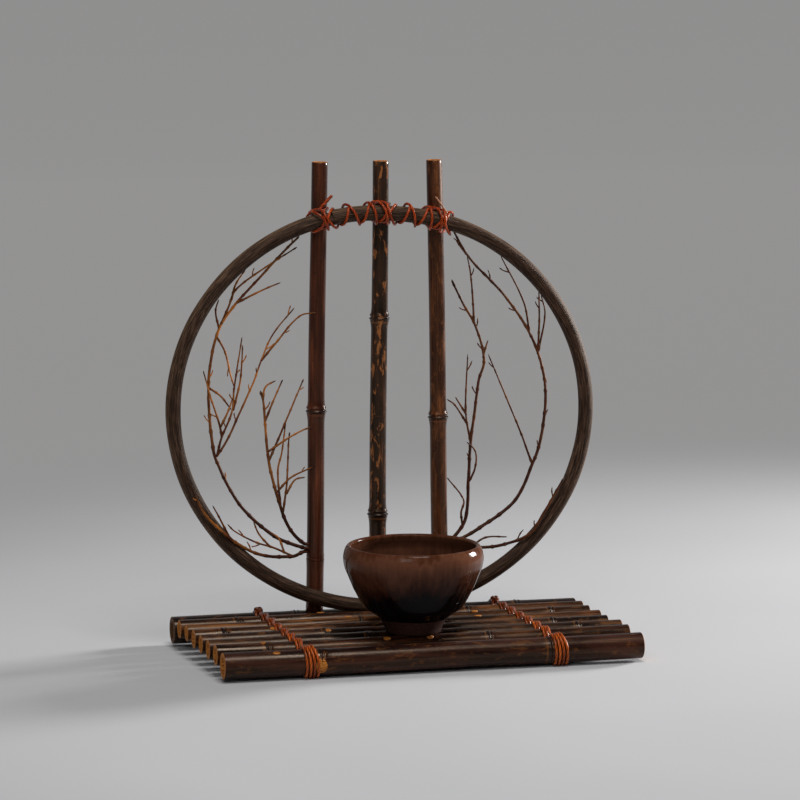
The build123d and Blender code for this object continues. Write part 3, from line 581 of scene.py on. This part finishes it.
# %% The finish of the cord
def cord_finish(name, front, back):
    """Orange-red wax over twisted yarn: the twist is a sine of the turn and the distance, and
    the colour drifts from a darker red-brown to bright orange along the cord. Painted shade
    darkens the grooves between the strands, and turns the cord to the darker back colour
    where its bright mark is low."""
    made = Finish(name, Coat_Weight=0.08, Coat_Roughness=0.1, Specular_IOR_Level=0.35,
                  Specular_Tint=(1.0, 0.70, 0.50, 1))
    place = made.mark("grain")
    drift = made.noise(made.stretch(place, (55, 90, 90)), 1, 2, 0.5)
    yarn = made.mark("twist", "Fac")
    shade = made.mix(made.ramp(drift, (0.34, 0.0), (0.62, 1.0)), back, front)
    # Painted shade: where the bright mark is low, the cord takes the darker back colour.
    shade = made.mix(made.mark("bright", "Fac"), back, shade)
    # Painted shade: the grooves between the strands, where the twist mark is low, are darkened
    # towards near black.
    deep = made.ramp(yarn, (0.0, 0.85), (0.55, 0.0))
    shade = made.mix(deep, shade, (0.050, 0.008, 0.003))
    shade = made.mix(made.mark("cut", "Fac"), shade, (0.42, 0.23, 0.13))
    fuzz = made.noise(made.stretch(place, (900, 2600, 2600)), 1, 2, 0.6)
    relief = made.bump(fuzz, 0.15, 0.0002)
    return made.finish(shade, made.ramp(drift, (0.3, 0.24), (0.7, 0.40)), relief)


# %% A twisted cord along a line
cord_radius = 0.93


def twisted_cord(line, radius=cord_radius, plies=3, lay=4.2, bright=None, worn=0.0):
    """Radius = the cord's radius times (1 plus 5 hundredths of the cosine of plies times the
    turn less the distance along over the lay). Nothing goes below the ground."""
    across, aside = frames_along(line)
    steps = np.linalg.norm(np.diff(line, axis=0), axis=1)
    along = np.concatenate([[0], np.cumsum(steps)])
    turns = np.linspace(0, 2 * pi, 18, endpoint=False)
    wave = np.cos(plies * turns[None, :] - 2 * pi * along[:, None] / lay)
    close = np.clip(along / 0.5, 0.35, 1) * np.clip((along[-1] - along) / 0.5, 0.35, 1)
    radii = radius * (1 + 0.05 * wave) * close[:, None]
    points = rings_along(line, across, aside, radii, turns)
    points[..., 2] = np.maximum(points[..., 2], 0.02)
    cut = np.full((len(along), 1), worn)
    cut[[0, -1]] = 1
    # The bright mark carries painted shade: the cord is darker where it is low.
    bright = np.ones(len(along)) if bright is None else bright(line)
    marks = {"grain": straightened(along, radii, turns) * mm, "twist": 0.5 + 0.5 * wave}
    print("cord of", round(along[-1]), "mm")
    return shell(points * mm, cut=cut, bright=bright[:, None], **marks)


# %% [markdown]
# ## The raft's lashings
# Each lashing starts with a knot and a hitch on the back rail. It takes two turns round
# each slat with a slanting stretch to the next, and ends with four turns on the front rail
# that fan out from one place on its top. The raft stands on these turns, so the cord is
# pressed flat where it meets the ground.

# %% Places on a cord wound round the raft's poles
slat_radii = [6.65, 6.0, 6.75, 6.65, 7.0, 7.5]
slat_heights = [15.8, 16.45, 15.7, 15.8, 15.45, 14.95]
pole_radii = [back_rail_radius, *slat_radii, 9.3]
pole_heights = [back_rail_height, *slat_heights, 10.95]
pole_spacing = 18.8143
cord_reach, turn_pitch, slat_pitch, fan_pitch = 1.0, 2.6, 2.1, 2.75
hitch_reach, fan_gather, fan_lift = 3.05, 0.72, 0.35


def on_pole(row, x, angle, pitch, reach=cord_reach):
    """A point at an angle on a circle round a pole, and the way ahead of a helix there: the
    pitch over a whole turn along X. Row 0 is the back rail, and 90 degrees is its top."""
    turn, far = radians(angle), pole_radii[row] + reach
    y, z = back_rail_y - row * pole_spacing, pole_heights[row]
    place = (x, y + far * cos(turn), z + far * sin(turn))
    return place, (pitch / (2 * pi), -far * sin(turn), far * cos(turn))


def raft_lashing(place, drift):
    """Stations of one lashing from its hitch on the back rail to the front rail's fan."""
    pitch, upper, last = turn_pitch, hitch_reach, len(pole_radii) - 1
    route = [
        on_pole(0, place + 1.5 * pitch, 30, -3 * pitch, upper),
        on_pole(0, place + 0.5 * pitch, 75, -3 * pitch, upper),
        on_pole(0, place - 0.6 * pitch, 120, -3 * pitch, upper),
        on_pole(0, place - 1.1 * pitch, 180, 0),
        on_pole(0, place - 0.9 * pitch, 270, pitch),
        on_pole(0, place - 0.5 * pitch, 360, pitch),
    ]
    for quarter in range(4):
        route.append(on_pole(0, place + pitch * quarter / 4, 90 + 90 * quarter, pitch))
    route.append(on_pole(0, place + pitch, 90, 0))
    for row in range(1, last):
        start = place + drift * row / last - slat_pitch / 2
        route.append(on_pole(row, start, 90, 0))
        for quarter in range(1, 8):
            x = start + slat_pitch * quarter / 4
            route.append(on_pole(row, x, 90 + 90 * quarter, slat_pitch))
        route.append(on_pole(row, start + 2 * slat_pitch, 90, 0))
    for quarter in range(16):
        on_top = quarter % 4 == 0
        x = place + drift + fan_pitch * quarter / 4 * (fan_gather if on_top else 1)
        reach = cord_reach + (fan_lift * (quarter // 4) if on_top else 0)
        route.append(on_pole(last, x, 90 + 90 * quarter, fan_pitch, reach))
    return route


# %% Tie the raft
orange, red_brown = (0.62, 0.115, 0.010), (0.14, 0.024, 0.006)
knot_place, knot_size, knot_radius = (64.5, 24.0), 0.95, 0.75


def painted_shade_towards_back(line):
    """Painted shade on the raft cord: 0.15 at the back rail to 1 at the front rail, in a
    straight slope along Y.
    """
    return np.clip(0.15 + (55 - line[:, 1]) / 100, 0.15, 1)


def knot(middle, size):
    """An overhand knot: (sine t + 2 sine 2t, cosine t - 2 cosine 2t, -1.3 sine 3t) times the
    size, open by a short gap where its two ends stick out."""
    t = np.linspace(0.35, 2 * pi - 0.35, 90)
    loop = [np.sin(t) + 2 * np.sin(2 * t), np.cos(t) - 2 * np.cos(2 * t), -1.3 * np.sin(3 * t)]
    line = np.stack(loop, -1) * size
    ends = line[[0, -1]] + unit(line[[0, -1]] - line[[1, -2]]) * 2.0
    return np.concatenate([ends[:1], line, ends[1:]]) + middle


raft_cord = cord_finish("waxed_raft_cord", orange, red_brown)
for name, place, drift in (("left", -90.9, 4.3), ("right", 85.2, 6.2)):
    places, ways = zip(*raft_lashing(place, drift))
    cords = [smooth_line(places, ways), knot((place + 1.0, *knot_place), knot_size)]
    # The raft's cords get painted shade, darker towards the back rail.
    strands = [twisted_cord(line, radius, bright=painted_shade_towards_back)
               for line, radius in zip(cords, (cord_radius, knot_radius))]
    piece(f"cord_on_raft_{name}", strands, [f"raft_lashing_{name}"], raft_cord)

# %% [markdown]
# ## The hoop's lashing
# From a tail at the right upright the cord runs to the left: a loop behind each upright and
# three turns round the hoop between them. Beside the left upright it turns back and returns
# over its own turns, so its strands cross at each upright and on top of the hoop.

# %% Places on the cord round the hoop
twin_spacing, wrap_slope = 2.6, 5.4
stand_off, top_stand_off = 2.8, 2.2


def wound(x, angle, reach, drift):
    """A point on a circle round the hoop's line: 0 is its front, 90 its top. The way ahead
    runs down the front, with the drift along the hoop over a whole turn."""
    point, ahead, out = hoop_points(top_turn(x))
    lift = radians(angle)
    place = point + np.array([0, -reach * cos(lift), 0]) + out * (reach * sin(lift))
    down = np.array([0, -reach * sin(lift), 0]) - out * (reach * cos(lift))
    return place, down - ahead * (drift / (2 * pi))


def behind_upright(x, side, extra):
    """Three stations round the back of an upright, from low on one side to high on the other."""
    far, steep = tip_radius + cord_reach, wrap_slope + extra / 2
    low = hoop_points(top_turn(x + side * far))[0][2] - steep
    high = hoop_points(top_turn(x - side * far))[0][2] + steep
    return [
        ((x + side * far, upright_top_y, low), (0, far, steep / 2)),
        ((x, upright_top_y + far + extra, (low + high) / 2), (-side * far, 0, (high - low) / 2)),
        ((x - side * far, upright_top_y, high), (0, -far, steep / 2)),
    ]


def along_hoop(fronts, side, reach, close, extra, shares):
    """One pass of the cord: a loop behind each upright and three turns round the hoop, whose
    fronts lie at these shares of the way from one upright to the next. The pass keeps the
    farther reach where it crosses the other pass, and the close one elsewhere."""
    off = side * stand_off
    route = []
    for number, x in enumerate(fronts):
        first, second = (x, x + twin_spacing) if side > 0 else (x + twin_spacing, x)
        slope = side * 4 * twin_spacing
        route += [
            wound(first, 0, reach, slope),
            wound(first + side * twin_spacing, -90, reach, slope),
            *behind_upright(x, side, extra),
            wound(second - side * twin_spacing, 90, reach, slope),
        ]
        if number + 1 == len(fronts):
            route += [wound(second, 0, reach, slope),
                      wound(second + side * twin_spacing + 2 * off, -90, reach, slope)]
            continue
        following = fronts[number + 1] + (0 if side > 0 else twin_spacing)
        for turn in range(3):
            front = second + shares[turn] * (following - second)
            pitch = (shares[turn + 1] - shares[turn]) * (following - second)
            leaving, coming = (off if turn == 0 else 0), (off if turn == 2 else 0)
            arriving = side * top_stand_off if coming else 0
            route += [
                wound(front, 0, close if turn else reach, pitch),
                wound(front + pitch / 4 + leaving / 2, -90, reach, pitch),
                wound(front + pitch / 2 + leaving - coming, 180, reach, pitch),
                wound(front + pitch * 3 / 4 - arriving, 90, reach, pitch),
            ]
    return route


# %% Tie the hoop to the uprights
tops = [-43.49, 1.61, 42.17]
under, over = 6.35, 7.75
tail_x = tops[-1] + 10.6
turn_back_x = tops[0] - tip_radius - cord_reach - 3.6
route = [
    wound(tail_x, 180, under, -4 * twin_spacing),
    wound(tops[-1] + 2 * twin_spacing, 90, under, -4 * twin_spacing),
    *along_hoop(tops[::-1], -1, under, under, 0, (0, 1 / 3, 2 / 3, 1)),
    wound(turn_back_x, 180, under, 0),
    wound(tops[0] - 2 * twin_spacing, 90, over, 0),
    *along_hoop(tops, 1, over, under + 0.2, 1.8, (0, 0.48, 0.82, 1)),
    wound(tail_x, 180, over, 0),
    (wound(tail_x - 4.3, 90, over, 0)[0], (-3.0, -3.0, 1.0)),
    ((45.8, 57.4, 307.0), (-4.0, -3.0, -1.0)),
]
end_tail = smooth_line([(48.6, 57.6, 305.6), (45.8, 57.4, 310.0), (38.9, 57.1, 319.3)],
                       [(-4.0, 0.0, 5.6), (-6.9, -0.3, 9.3), (-6.9, -0.3, 9.3)])
start_tail = smooth_line([(-47.6, 66.0, 306.5), (-44.6, 61.6, 312.0), (-35.9, 60.6, 321.6)],
                         [(2.0, -3.0, 4.0), (8.7, -1.5, 9.9), (8.7, -1.0, 9.9)])
places, ways = zip(*route)
strands = [twisted_cord(smooth_line(places, ways)), twisted_cord(start_tail, 1.1),
           twisted_cord(end_tail, 0.55, worn=0.7)]
hoop_cord = cord_finish("waxed_hoop_cord", (0.54, 0.070, 0.010), (0.24, 0.026, 0.006))
piece("cord_on_hoop", strands, ["hoop_lashing"], hoop_cord)

# %% [markdown]
# ## The twigs
# Dried twigs reach out from the outer uprights in a curve that follows the hoop. Each is a
# thin rod that tapers, with small swellings where leaves once grew. A route is a few places
# in the hoop's plane, given from its middle in shares of its half width, with a third
# number for its depth where that isn't the usual one.

# %% Routes of the twigs
twig_routes = {
    "twigs_left_tall": (
        ((-0.36, -0.655), (-0.495, -0.60), (-0.635, -0.48), (-0.71, -0.375), (-0.77, -0.25),
         (-0.795, -0.175), (-0.815, 0.035), (-0.81, 0.21), (-0.765, 0.395), (-0.685, 0.51),
         (-0.58, 0.62), (-0.46, 0.745), (-0.38, 0.82)),
        ((-0.765, 0.395), (-0.78, 0.48), (-0.765, 0.535)),
        ((-0.765, 0.395), (-0.72, 0.495), (-0.685, 0.575), (-0.555, 0.67), (-0.39, 0.77)),
        ((-0.705, 0.53), (-0.685, 0.60), (-0.635, 0.675)),
        ((-0.68, 0.515), (-0.55, 0.575), (-0.47, 0.605)),
        ((-0.78, -0.205), (-0.755, -0.115), (-0.705, 0.005), (-0.695, 0.11), (-0.67, 0.265),
         (-0.655, 0.355)),
        ((-0.70, 0.01), (-0.665, 0.15), (-0.655, 0.32, 0.70)),
        ((-0.755, -0.115), (-0.765, -0.055), (-0.805, 0.065, 0.70), (-0.845, 0.205, 0.60)),
        ((-0.76, -0.065), (-0.725, 0.01, 0.75), (-0.705, 0.075, 0.60)),
        ((-0.78, -0.205), (-0.73, -0.13), (-0.67, -0.005), (-0.60, 0.145), (-0.565, 0.24),
         (-0.51, 0.36), (-0.405, 0.485)),
        ((-0.565, 0.24), (-0.50, 0.315), (-0.385, 0.445, 0.70), (-0.31, 0.465, 0.35)),
        ((-0.775, 0.36), (-0.735, 0.285, 0.95), (-0.71, 0.18, 1.00), (-0.69, 0.11, 0.90)),
        ((-0.813, 0.12), (-0.76, 0.08, 0.75), (-0.71, 0.015, 0.80)),
    ),
    "twigs_left_inner": (
        ((-0.36, -0.635), (-0.435, -0.555), (-0.49, -0.405), (-0.53, -0.24), (-0.545, -0.09),
         (-0.555, 0.045), (-0.57, 0.10)),
        ((-0.557, 0.055), (-0.545, 0.115), (-0.495, 0.145)),
        ((-0.547, -0.045), (-0.50, 0.07, 0.80), (-0.465, 0.15, 0.70)),
        ((-0.53, -0.235), (-0.49, -0.145), (-0.42, 0.015), (-0.365, 0.15, 0.70)),
        ((-0.533, -0.19), (-0.435, -0.125, 0.70), (-0.37, -0.09, 0.55), (-0.325, -0.075, 0.40)),
        ((-0.463, -0.48), (-0.445, -0.35), (-0.435, -0.15), (-0.43, -0.10)),
        ((-0.493, -0.385), (-0.425, -0.315, 0.75), (-0.325, -0.265, 0.40)),
        ((-0.475, -0.45), (-0.485, -0.285, 1.00), (-0.465, -0.20, 1.05), (-0.445, -0.055, 1.05)),
        ((-0.447, -0.395), (-0.405, -0.33), (-0.36, -0.315, 0.60)),
    ),
    "twigs_left_low": (
        ((-0.36, -0.675, 0.95), (-0.425, -0.69, 0.60), (-0.58, -0.67, 0.10),
         (-0.695, -0.61, -0.35), (-0.78, -0.54, -0.60), (-0.865, -0.45, -0.62),
         (-0.905, -0.365, -0.62)),
        ((-0.42, -0.69, 0.60), (-0.51, -0.645, 0.40), (-0.615, -0.605, 0.15),
         (-0.71, -0.55, 0.05), (-0.745, -0.515, 0)),
        ((-0.745, -0.567, -0.48), (-0.79, -0.48, -0.65), (-0.825, -0.415, -0.65)),
        ((-0.535, -0.637, 0.33), (-0.59, -0.57, 0.35), (-0.615, -0.51, 0.35)),
        ((-0.465, -0.667, 0.50), (-0.49, -0.60, 0.60), (-0.53, -0.57, 0.60)),
    ),
    "twigs_right_tall": (
        ((0.36, -0.665), (0.505, -0.59), (0.67, -0.47), (0.755, -0.30), (0.795, -0.185),
         (0.82, 0.02), (0.80, 0.175), (0.735, 0.34), (0.61, 0.52), (0.445, 0.695),
         (0.36, 0.835)),
        ((0.45, 0.69), (0.40, 0.75), (0.375, 0.785)),
        ((0.74, 0.325), (0.71, 0.48), (0.595, 0.705)),
        ((0.78, 0.23), (0.785, 0.39, 0.80), (0.78, 0.56, 0.70)),
        ((0.78, 0.23), (0.815, 0.42), (0.795, 0.515)),
        ((0.755, -0.30), (0.695, -0.14, 0.80), (0.615, 0.045, 0.70), (0.53, 0.24, 0.60)),
    ),
    "twigs_right_inner": (
        ((0.36, -0.645), (0.425, -0.55), (0.44, -0.36), (0.45, -0.185), (0.47, -0.035),
         (0.49, 0.115), (0.515, 0.20), (0.50, 0.295), (0.465, 0.39), (0.415, 0.48, 1.00),
         (0.36, 0.595, 1.10)),
        ((0.465, 0.39), (0.455, 0.515, 0.70), (0.44, 0.64, 0.60),
         (0.425, 0.712, 0.60)),
        ((0.51, 0.22), (0.52, 0.26), (0.535, 0.305)),
        ((0.45, -0.185), (0.43, -0.035, 1.05), (0.44, 0.24, 1.10)),
        ((0.432, -0.05, 1.03), (0.38, 0.035, 1.10)),
        ((0.432, -0.09, 1.01), (0.38, -0.005, 1.20), (0.34, 0.025, 1.25)),
        ((0.44, -0.375), (0.47, -0.305, 0.75), (0.47, -0.225, 0.70), (0.425, -0.175, 0.60)),
        ((0.41, -0.575), (0.405, -0.52, 0.90), (0.42, -0.46, 1.05), (0.34, -0.35, 1.10)),
    ),
    "twigs_right_low": (
        ((0.36, -0.69, 0.95), (0.53, -0.685, 0.50), (0.615, -0.665, 0), (0.715, -0.615, -0.50),
         (0.775, -0.525, -0.62), (0.88, -0.35, -0.62)),
        ((0.445, -0.687, 0.72), (0.52, -0.64, 0.60), (0.625, -0.64, 0.50)),
    ),
}


# %% The finish of the twigs
def twig_finish():
    """Bark: dark red-brown with fine wrinkles along it, golden on the young shoots of the left
    side and almost black at all tips."""
    made = Finish("dry_bark", Specular_IOR_Level=0.25, Specular_Tint=(1.0, 0.75, 0.55, 1))
    place = made.mark("grain")
    bark = made.noise(made.stretch(place, (140, 1800, 1800)), 1, 4, 0.65)
    patches = made.noise(made.stretch(place, (45, 45, 45)), 1, 2, 0.5)
    shade = made.ramp(bark, (0.32, (0.010, 0.004, 0.003)), (0.52, (0.045, 0.012, 0.007)),
                      (0.72, (0.20, 0.050, 0.017)))
    young = made.mix(made.ramp(patches, (0.36, 0.0), (0.58, 1.0)), (0.13, 0.030, 0.010),
                     (0.62, 0.215, 0.038))
    age = made.mark("age", "Fac")
    youth = made.ramp(age, (0.30, 0.0), (0.7, 0.7))
    shade = made.mix(made.math("MULTIPLY", youth, made.mark("gold", "Fac")), shade, young)
    shade = made.mix(made.ramp(age, (0.86, 0.0), (0.97, 0.8)), shade, (0.020, 0.010, 0.009))
    rough = made.ramp(bark, (0.3, 0.45), (0.7, 0.68))
    return made.finish(shade, rough, made.bump(bark, 0.5, 0.0003))


# %% The sprays
rng = np.random.default_rng(7)
usual_depth, stem_sizes, shoot_sizes, spur_sizes = 0.87, (2.6, 1.6), (1.7, 0.95), (1.1, 0.7)


def twig(points, thick, thin, youth, gold):
    """Radius = a straight taper plus a small bell-shaped swelling every few millimetres. The
    line passes through its points, each in the direction of its two neighbours."""
    points = np.asarray(points, float)
    ways = np.gradient(points, axis=0)
    line = smooth_line(points, ways, 14)
    steps = np.concatenate([[0], np.cumsum(np.linalg.norm(np.diff(line, axis=0), axis=1))])
    share = steps / steps[-1]
    turns = np.linspace(0, 2 * pi, 9, endpoint=False)
    radius = (thick + (thin - thick) * share) / 2
    buds = np.arange(rng.uniform(3, 8), steps[-1], rng.uniform(8, 12))
    swell = np.exp(-(((steps[:, None] - buds[None, :]) / 0.8) ** 2)).sum(1)
    radius = radius * (1 + 0.42 * swell)
    radius *= np.clip((steps[-1] - steps) / 1.2, 0.25, 1)
    lumps = 1 + 0.06 * np.sin(3 * turns[None, :] + steps[:, None] / 3)
    across, aside = frames_along(line)
    radii = radius[:, None] * lumps
    age = youth + (1 - youth) * share
    marks = {"grain": (straightened(steps, radii, turns) + rng.uniform(0, 300)) * mm}
    marks["gold"] = np.full((len(line), 1), gold)
    return shell(rings_along(line, across, aside, radii, turns) * mm, age=age[:, None], **marks)


def spurs(points, stem, gold):
    """Short side shoots. Each leaves the line between two places at 25 to 50 degrees to its
    way, in the hoop's plane, and is 4 to 9 mm long with a slight curve."""
    made = []
    for start, end in list(zip(points, points[1:]))[1 + stem:]:
        start, end = np.array(start), np.array(end)
        if np.linalg.norm(end - start) < 14 or rng.uniform() < 0.35:
            continue
        way = unit(end - start)
        angle = radians(rng.uniform(25, 50)) * rng.choice([-1, 1])
        aside = np.array([way[0] * cos(angle) - way[2] * sin(angle), rng.uniform(-0.1, 0.1),
                          way[0] * sin(angle) + way[2] * cos(angle)])
        long = rng.uniform(4, 9)
        root = start + (end - start) * rng.uniform(0.3, 0.8)
        bend = root + aside * long * 0.55
        tip = bend + unit(aside + way * 0.6) * long * 0.45
        made.append(twig([root, bend, tip], *spur_sizes, 0.6, gold))
    return made


bark = twig_finish()
for name, routes in twig_routes.items():
    side, post = (-1, "upright_left") if "left" in name else (1, "upright_right")
    rods = []
    for number, route in enumerate(routes):
        spots = [(*place, usual_depth)[:3] for place in route]
        points = [(x * hoop_half_width, hoop_y + deep * (upright_base_y - hoop_y),
                   hoop_z + z * hoop_half_width) for x, z, deep in spots]
        if number == 0:
            rise = upright_top - back_rail_height
            slope = (upright_tips[post] - upright_feet[post]) / rise
            x = upright_feet[post] + (points[0][2] - back_rail_height) * slope
            x += side * foot_radius
            root = (x - side * 2.6, points[0][1], points[0][2])
            points = [root, (x + side * 2.2, *points[0][1:]), *points[1:]]
        thick, thin = stem_sizes if number == 0 else shoot_sizes
        gold = 1.0 if side < 0 else 0.2
        rods.append(twig(points, thick, thin, 0.0 if number == 0 else 0.35, gold))
        rods += spurs(points, number == 0, gold)
    piece("dry_" + name, rods, [name], bark)

# %% [markdown]
# ## The bowl
# The bowl is thrown on a wheel: a wide belly, a lip that turns in, a narrow waist and a foot
# ring. It could be a spun curve. Here its outline is a list of points with a smooth line
# through them, turned round the upright axis. The glaze is red-brown above and runs into
# black below; the foot is bare clay.

# %% The outline of the bowl
bowl_middle = np.array([0.0, -31.25, 22.75])
outer_wall = [(19.0, 0.0), (19.6, 1.2), (20.6, 4.2), (24.2, 10.2), (30.0, 14.6), (34.5, 17.8),
              (38.6, 24.5), (42.3, 31.6), (45.5, 39.2), (48.0, 45.6), (49.0, 51.2), (48.6, 56.0),
              (47.2, 59.6), (45.9, 61.1), (44.6, 61.2)]
inner_wall = [(43.4, 60.0), (43.8, 57.6), (45.0, 54.0), (45.4, 50.4), (44.2, 45.0), (41.9, 39.2),
              (37.0, 29.5), (30.9, 17.8), (24.2, 12.9), (15.0, 8.4), (8.0, 7.2), (0.3, 7.2)]
foot_recess = [(0.3, 2.2), (12.0, 2.2), (14.2, 2.0), (14.6, 0.6), (15.2, 0.0), (18.2, 0.0)]


def smooth_outline(points, steps=9):
    """The same smooth line as the twigs', in a flat outline of distance out and height."""
    flat = np.array([(out, 0.0, height) for out, height in points])
    return smooth_line(flat, np.gradient(flat, axis=0), steps)[:, [0, 2]]


# %% The glaze
def glaze_finish():
    """Colour by height above the table, with the height shifted by noise that is stretched
    down the wall so that the edges run: bare foot, black, red-brown, and a darker lip."""
    made = Finish("run_glaze", IOR=1.5, Specular_IOR_Level=0.07)
    place = made.add("TexCoord", {}, "Object")
    centred = made.stretch(place, (1, 1, 1), (0, -bowl_middle[1] * mm, 0))
    runs = made.noise(made.stretch(centred, (300, 300, 22)), 1, 4, 0.6)
    clouds = made.noise(centred, 42, 3, 0.5, 0.5)
    flecks = made.noise(centred, 900, 2, 0.7)
    height = made.add("SeparateXYZ", {"Vector": place}, 2)
    drift = made.math("MULTIPLY", made.math("SUBTRACT", clouds, 0.5), 0.022)
    streak = made.math("MULTIPLY", made.math("SUBTRACT", runs, 0.5), 0.016)
    level = made.math("ADD", height, made.math("ADD", drift, streak))
    share = made.add("MapRange", {"Value": level, "From Min": 0.022, "From Max": 0.086})
    shade = made.ramp(
        share, (0.25, (0.0015, 0.001, 0.001)), (0.44, (0.003, 0.0015, 0.0015)),
        (0.56, (0.022, 0.007, 0.004)), (0.70, (0.060, 0.021, 0.011)),
        (0.88, (0.125, 0.048, 0.026)), (0.975, (0.070, 0.021, 0.008)))
    shade = made.mix(made.ramp(flecks, (0.62, 0.0), (0.75, 0.5)), shade, (0.010, 0.005, 0.004))
    clay = made.ramp(flecks, (0.35, (0.020, 0.008, 0.006)), (0.65, (0.048, 0.019, 0.013)))
    uneven = made.math("MULTIPLY", made.math("SUBTRACT", clouds, 0.5), 0.002)
    edge = made.math("ADD", height, uneven)
    bare = made.add("MapRange", {"Value": edge, "From Min": 0.0329, "From Max": 0.0324})
    inside = made.mark("inside", "Fac")
    bare = made.math("MULTIPLY", bare, made.math("SUBTRACT", 1.0, inside))
    shade = made.mix(bare, shade, clay)
    rough = made.mix(bare, made.ramp(clouds, (0.3, 0.07), (0.7, 0.17)), (0.72, 0.72, 0.72))
    relief = made.bump(flecks, made.math("MULTIPLY_ADD", bare, 0.3, 0.02), 0.0004)
    relief = made.bump(clouds, 0.03, 0.002, relief)
    return made.finish(shade, rough, relief)


# %% Throw the bowl
def bowl():
    """Point = middle + (radius times cosine and sine of the turn, height), with the radius
    changed by a few hundredths of a millimetre in throwing rings and by a slight oval."""
    outline = np.concatenate([foot_recess, smooth_outline(outer_wall + inner_wall)])
    out, height = outline[:, 0], outline[:, 1]
    turns = np.linspace(0, 2 * pi, 160, endpoint=False)
    rings = 0.035 * np.sin(height / 1.15) * np.clip((height - 12) / 10, 0, 1)
    radii = (out + np.where(out > 10, rings, 0))[:, None] * (1 + 0.003 * np.cos(2 * turns + 0.6))
    level = np.broadcast_to(height[:, None], radii.shape)
    points = np.stack([radii * np.cos(turns), radii * np.sin(turns), level], -1) + bowl_middle
    inside = np.zeros((len(out), 1))
    inside[-9 * len(inner_wall):] = 1
    thrown = shell(points * mm, inside=inside)
    piece("glazed_bowl", [thrown], ["bowl"], glaze_finish(), "bowl")


bowl()

# %% [markdown]
# ## The floor, the light and the camera
# A pale floor turns grey in the distance and curves up into a grey wall. The grey is a colour
# that only the camera and reflections see, so that it is the same from every side. One soft
# lamp stands to the right, a little behind the object, so that its shadow falls to the left.
# Two wide lamps fill the front and the top. The camera looks from the left of the middle and
# a little above, from far away.


# %% The floor and the wall behind it
pool_middle, pool_edge, wall_grey = (0.22, -0.02, 0.0), (0.52, 1.12), (0.272, 0.268, 0.266)


def sweep_cloth():
    """Floor and wall as one sheet: flat, then a quarter circle, then upright, far wider than
    the picture. Depth and height follow the distance along that outline. Its colour is pale
    round the object and turns to a plain grey with the distance from it."""
    radius, reach, start = 1.5, 6.0, 4.0
    flat = np.linspace(-reach, start, 12)
    bend = np.linspace(0, pi / 2, 24)[1:]
    upright_part = radius + np.linspace(0.5, 4, 4)
    depth = np.concatenate([flat, start + radius * np.sin(bend), [start + radius] * 4])
    height = np.concatenate([0 * flat, radius - radius * np.cos(bend), upright_part])
    width = np.linspace(-reach, reach, 17)
    depth, wide = np.broadcast_arrays(depth[:, None], width[None, :])
    tall = np.broadcast_to(height[:, None], depth.shape)
    points = np.stack([wide, depth, tall], -1)
    rows, columns = depth.shape
    here = (np.arange(rows - 1)[:, None] * columns + np.arange(columns - 1)).reshape(-1)
    faces = np.stack([here, here + 1, here + columns + 1, here + columns], -1)
    mesh = bpy.data.meshes.new("floor_and_wall")
    mesh.from_pydata(points.reshape(-1, 3).tolist(), [], faces.tolist())
    mesh.polygons.foreach_set("use_smooth", np.ones(len(faces), bool))
    made = into_scene("floor_and_wall", mesh)
    paper = Finish("pale_paper")
    place = paper.add("TexCoord", {}, "Object")
    tone = paper.noise(place, 3, 2, 0.5)
    floor = paper.ramp(tone, (0.3, (0.52, 0.52, 0.527)), (0.7, (0.55, 0.55, 0.557)))
    far = paper.add("VectorMath", {0: place, 1: pool_middle}, "Value", operation="DISTANCE")
    edge = {"Value": far, "From Min": pool_edge[0], "From Max": pool_edge[1]}
    beyond = paper.add("MapRange", edge, interpolation_type="SMOOTHSTEP")
    camera_ray = paper.add("LightPath", {}, "Is Camera Ray")
    glossy_ray = paper.add("LightPath", {}, "Is Glossy Ray")
    clear_ray = paper.add("LightPath", {}, "Is Transmission Ray")
    seen = paper.math("MAXIMUM", paper.math("MAXIMUM", camera_ray, glossy_ray), clear_ray)
    grey = paper.math("MULTIPLY", beyond, seen)
    paper.shader.inputs["Emission Color"].default_value = (*wall_grey, 1)
    paper.join(grey, paper.shader.inputs["Emission Strength"])
    paper.finish(paper.mix(grey, floor, (0.0, 0.0, 0.0)), 0.75)
    mesh.materials.append(paper.material)


sweep_cloth()


# %% The lamps
def lamp(name, place, size, power, spread=180, aim=(0, 0, 0.15)):
    """A square lamp of that size in metres, at a place, facing the object, whose light stays
    within the spread in degrees."""
    light = bpy.data.lights.new(name, "AREA")
    light.shape, light.size, light.energy = "SQUARE", size, power
    light.spread = radians(spread)
    made = into_scene(name, light)
    made.location = place
    made.rotation_mode = "QUATERNION"
    made.rotation_quaternion = (Vector(aim) - Vector(place)).to_track_quat("-Z", "Y")


lamp("window_right", (1.85, 0.50, 0.58), 0.45, 11, 80)
lamp("fill_front", (-1.2, -2.4, 1.9), 1.0, 16)
lamp("top_soft", (0.1, -0.8, 2.2), 0.8, 27)
world = bpy.data.worlds.new("studio_air")
world.use_nodes = True
air = world.node_tree.nodes["Background"]
air.inputs["Color"].default_value = (0.60, 0.61, 0.64, 1)
air.inputs["Strength"].default_value = 0.12
bpy.context.scene.world = world
bpy.context.scene.view_settings.view_transform = "Standard"

# %% The camera
focal_pixels, picture_pixels, sensor = 4004.4, 800, 36
azimuth, elevation = radians(-14.252), radians(7.859)
target, distance = Vector((-0.000904, 0.00302, 0.1813)), 2.8149
back = Vector((sin(azimuth) * cos(elevation), -cos(azimuth) * cos(elevation), sin(elevation)))
camera_data = bpy.data.cameras.new("camera")
camera_data.sensor_width = sensor
camera_data.lens = sensor * focal_pixels / picture_pixels
camera_data.clip_start, camera_data.clip_end = 0.1, 50
camera = into_scene("camera", camera_data)
camera.location = target + back * distance
camera.rotation_mode = "QUATERNION"
camera.rotation_quaternion = (-back).to_track_quat("-Z", "Y")
bpy.context.scene.camera = camera
print("camera at", [round(value, 3) for value in camera.location])
print("lens", round(camera_data.lens, 1), "mm")
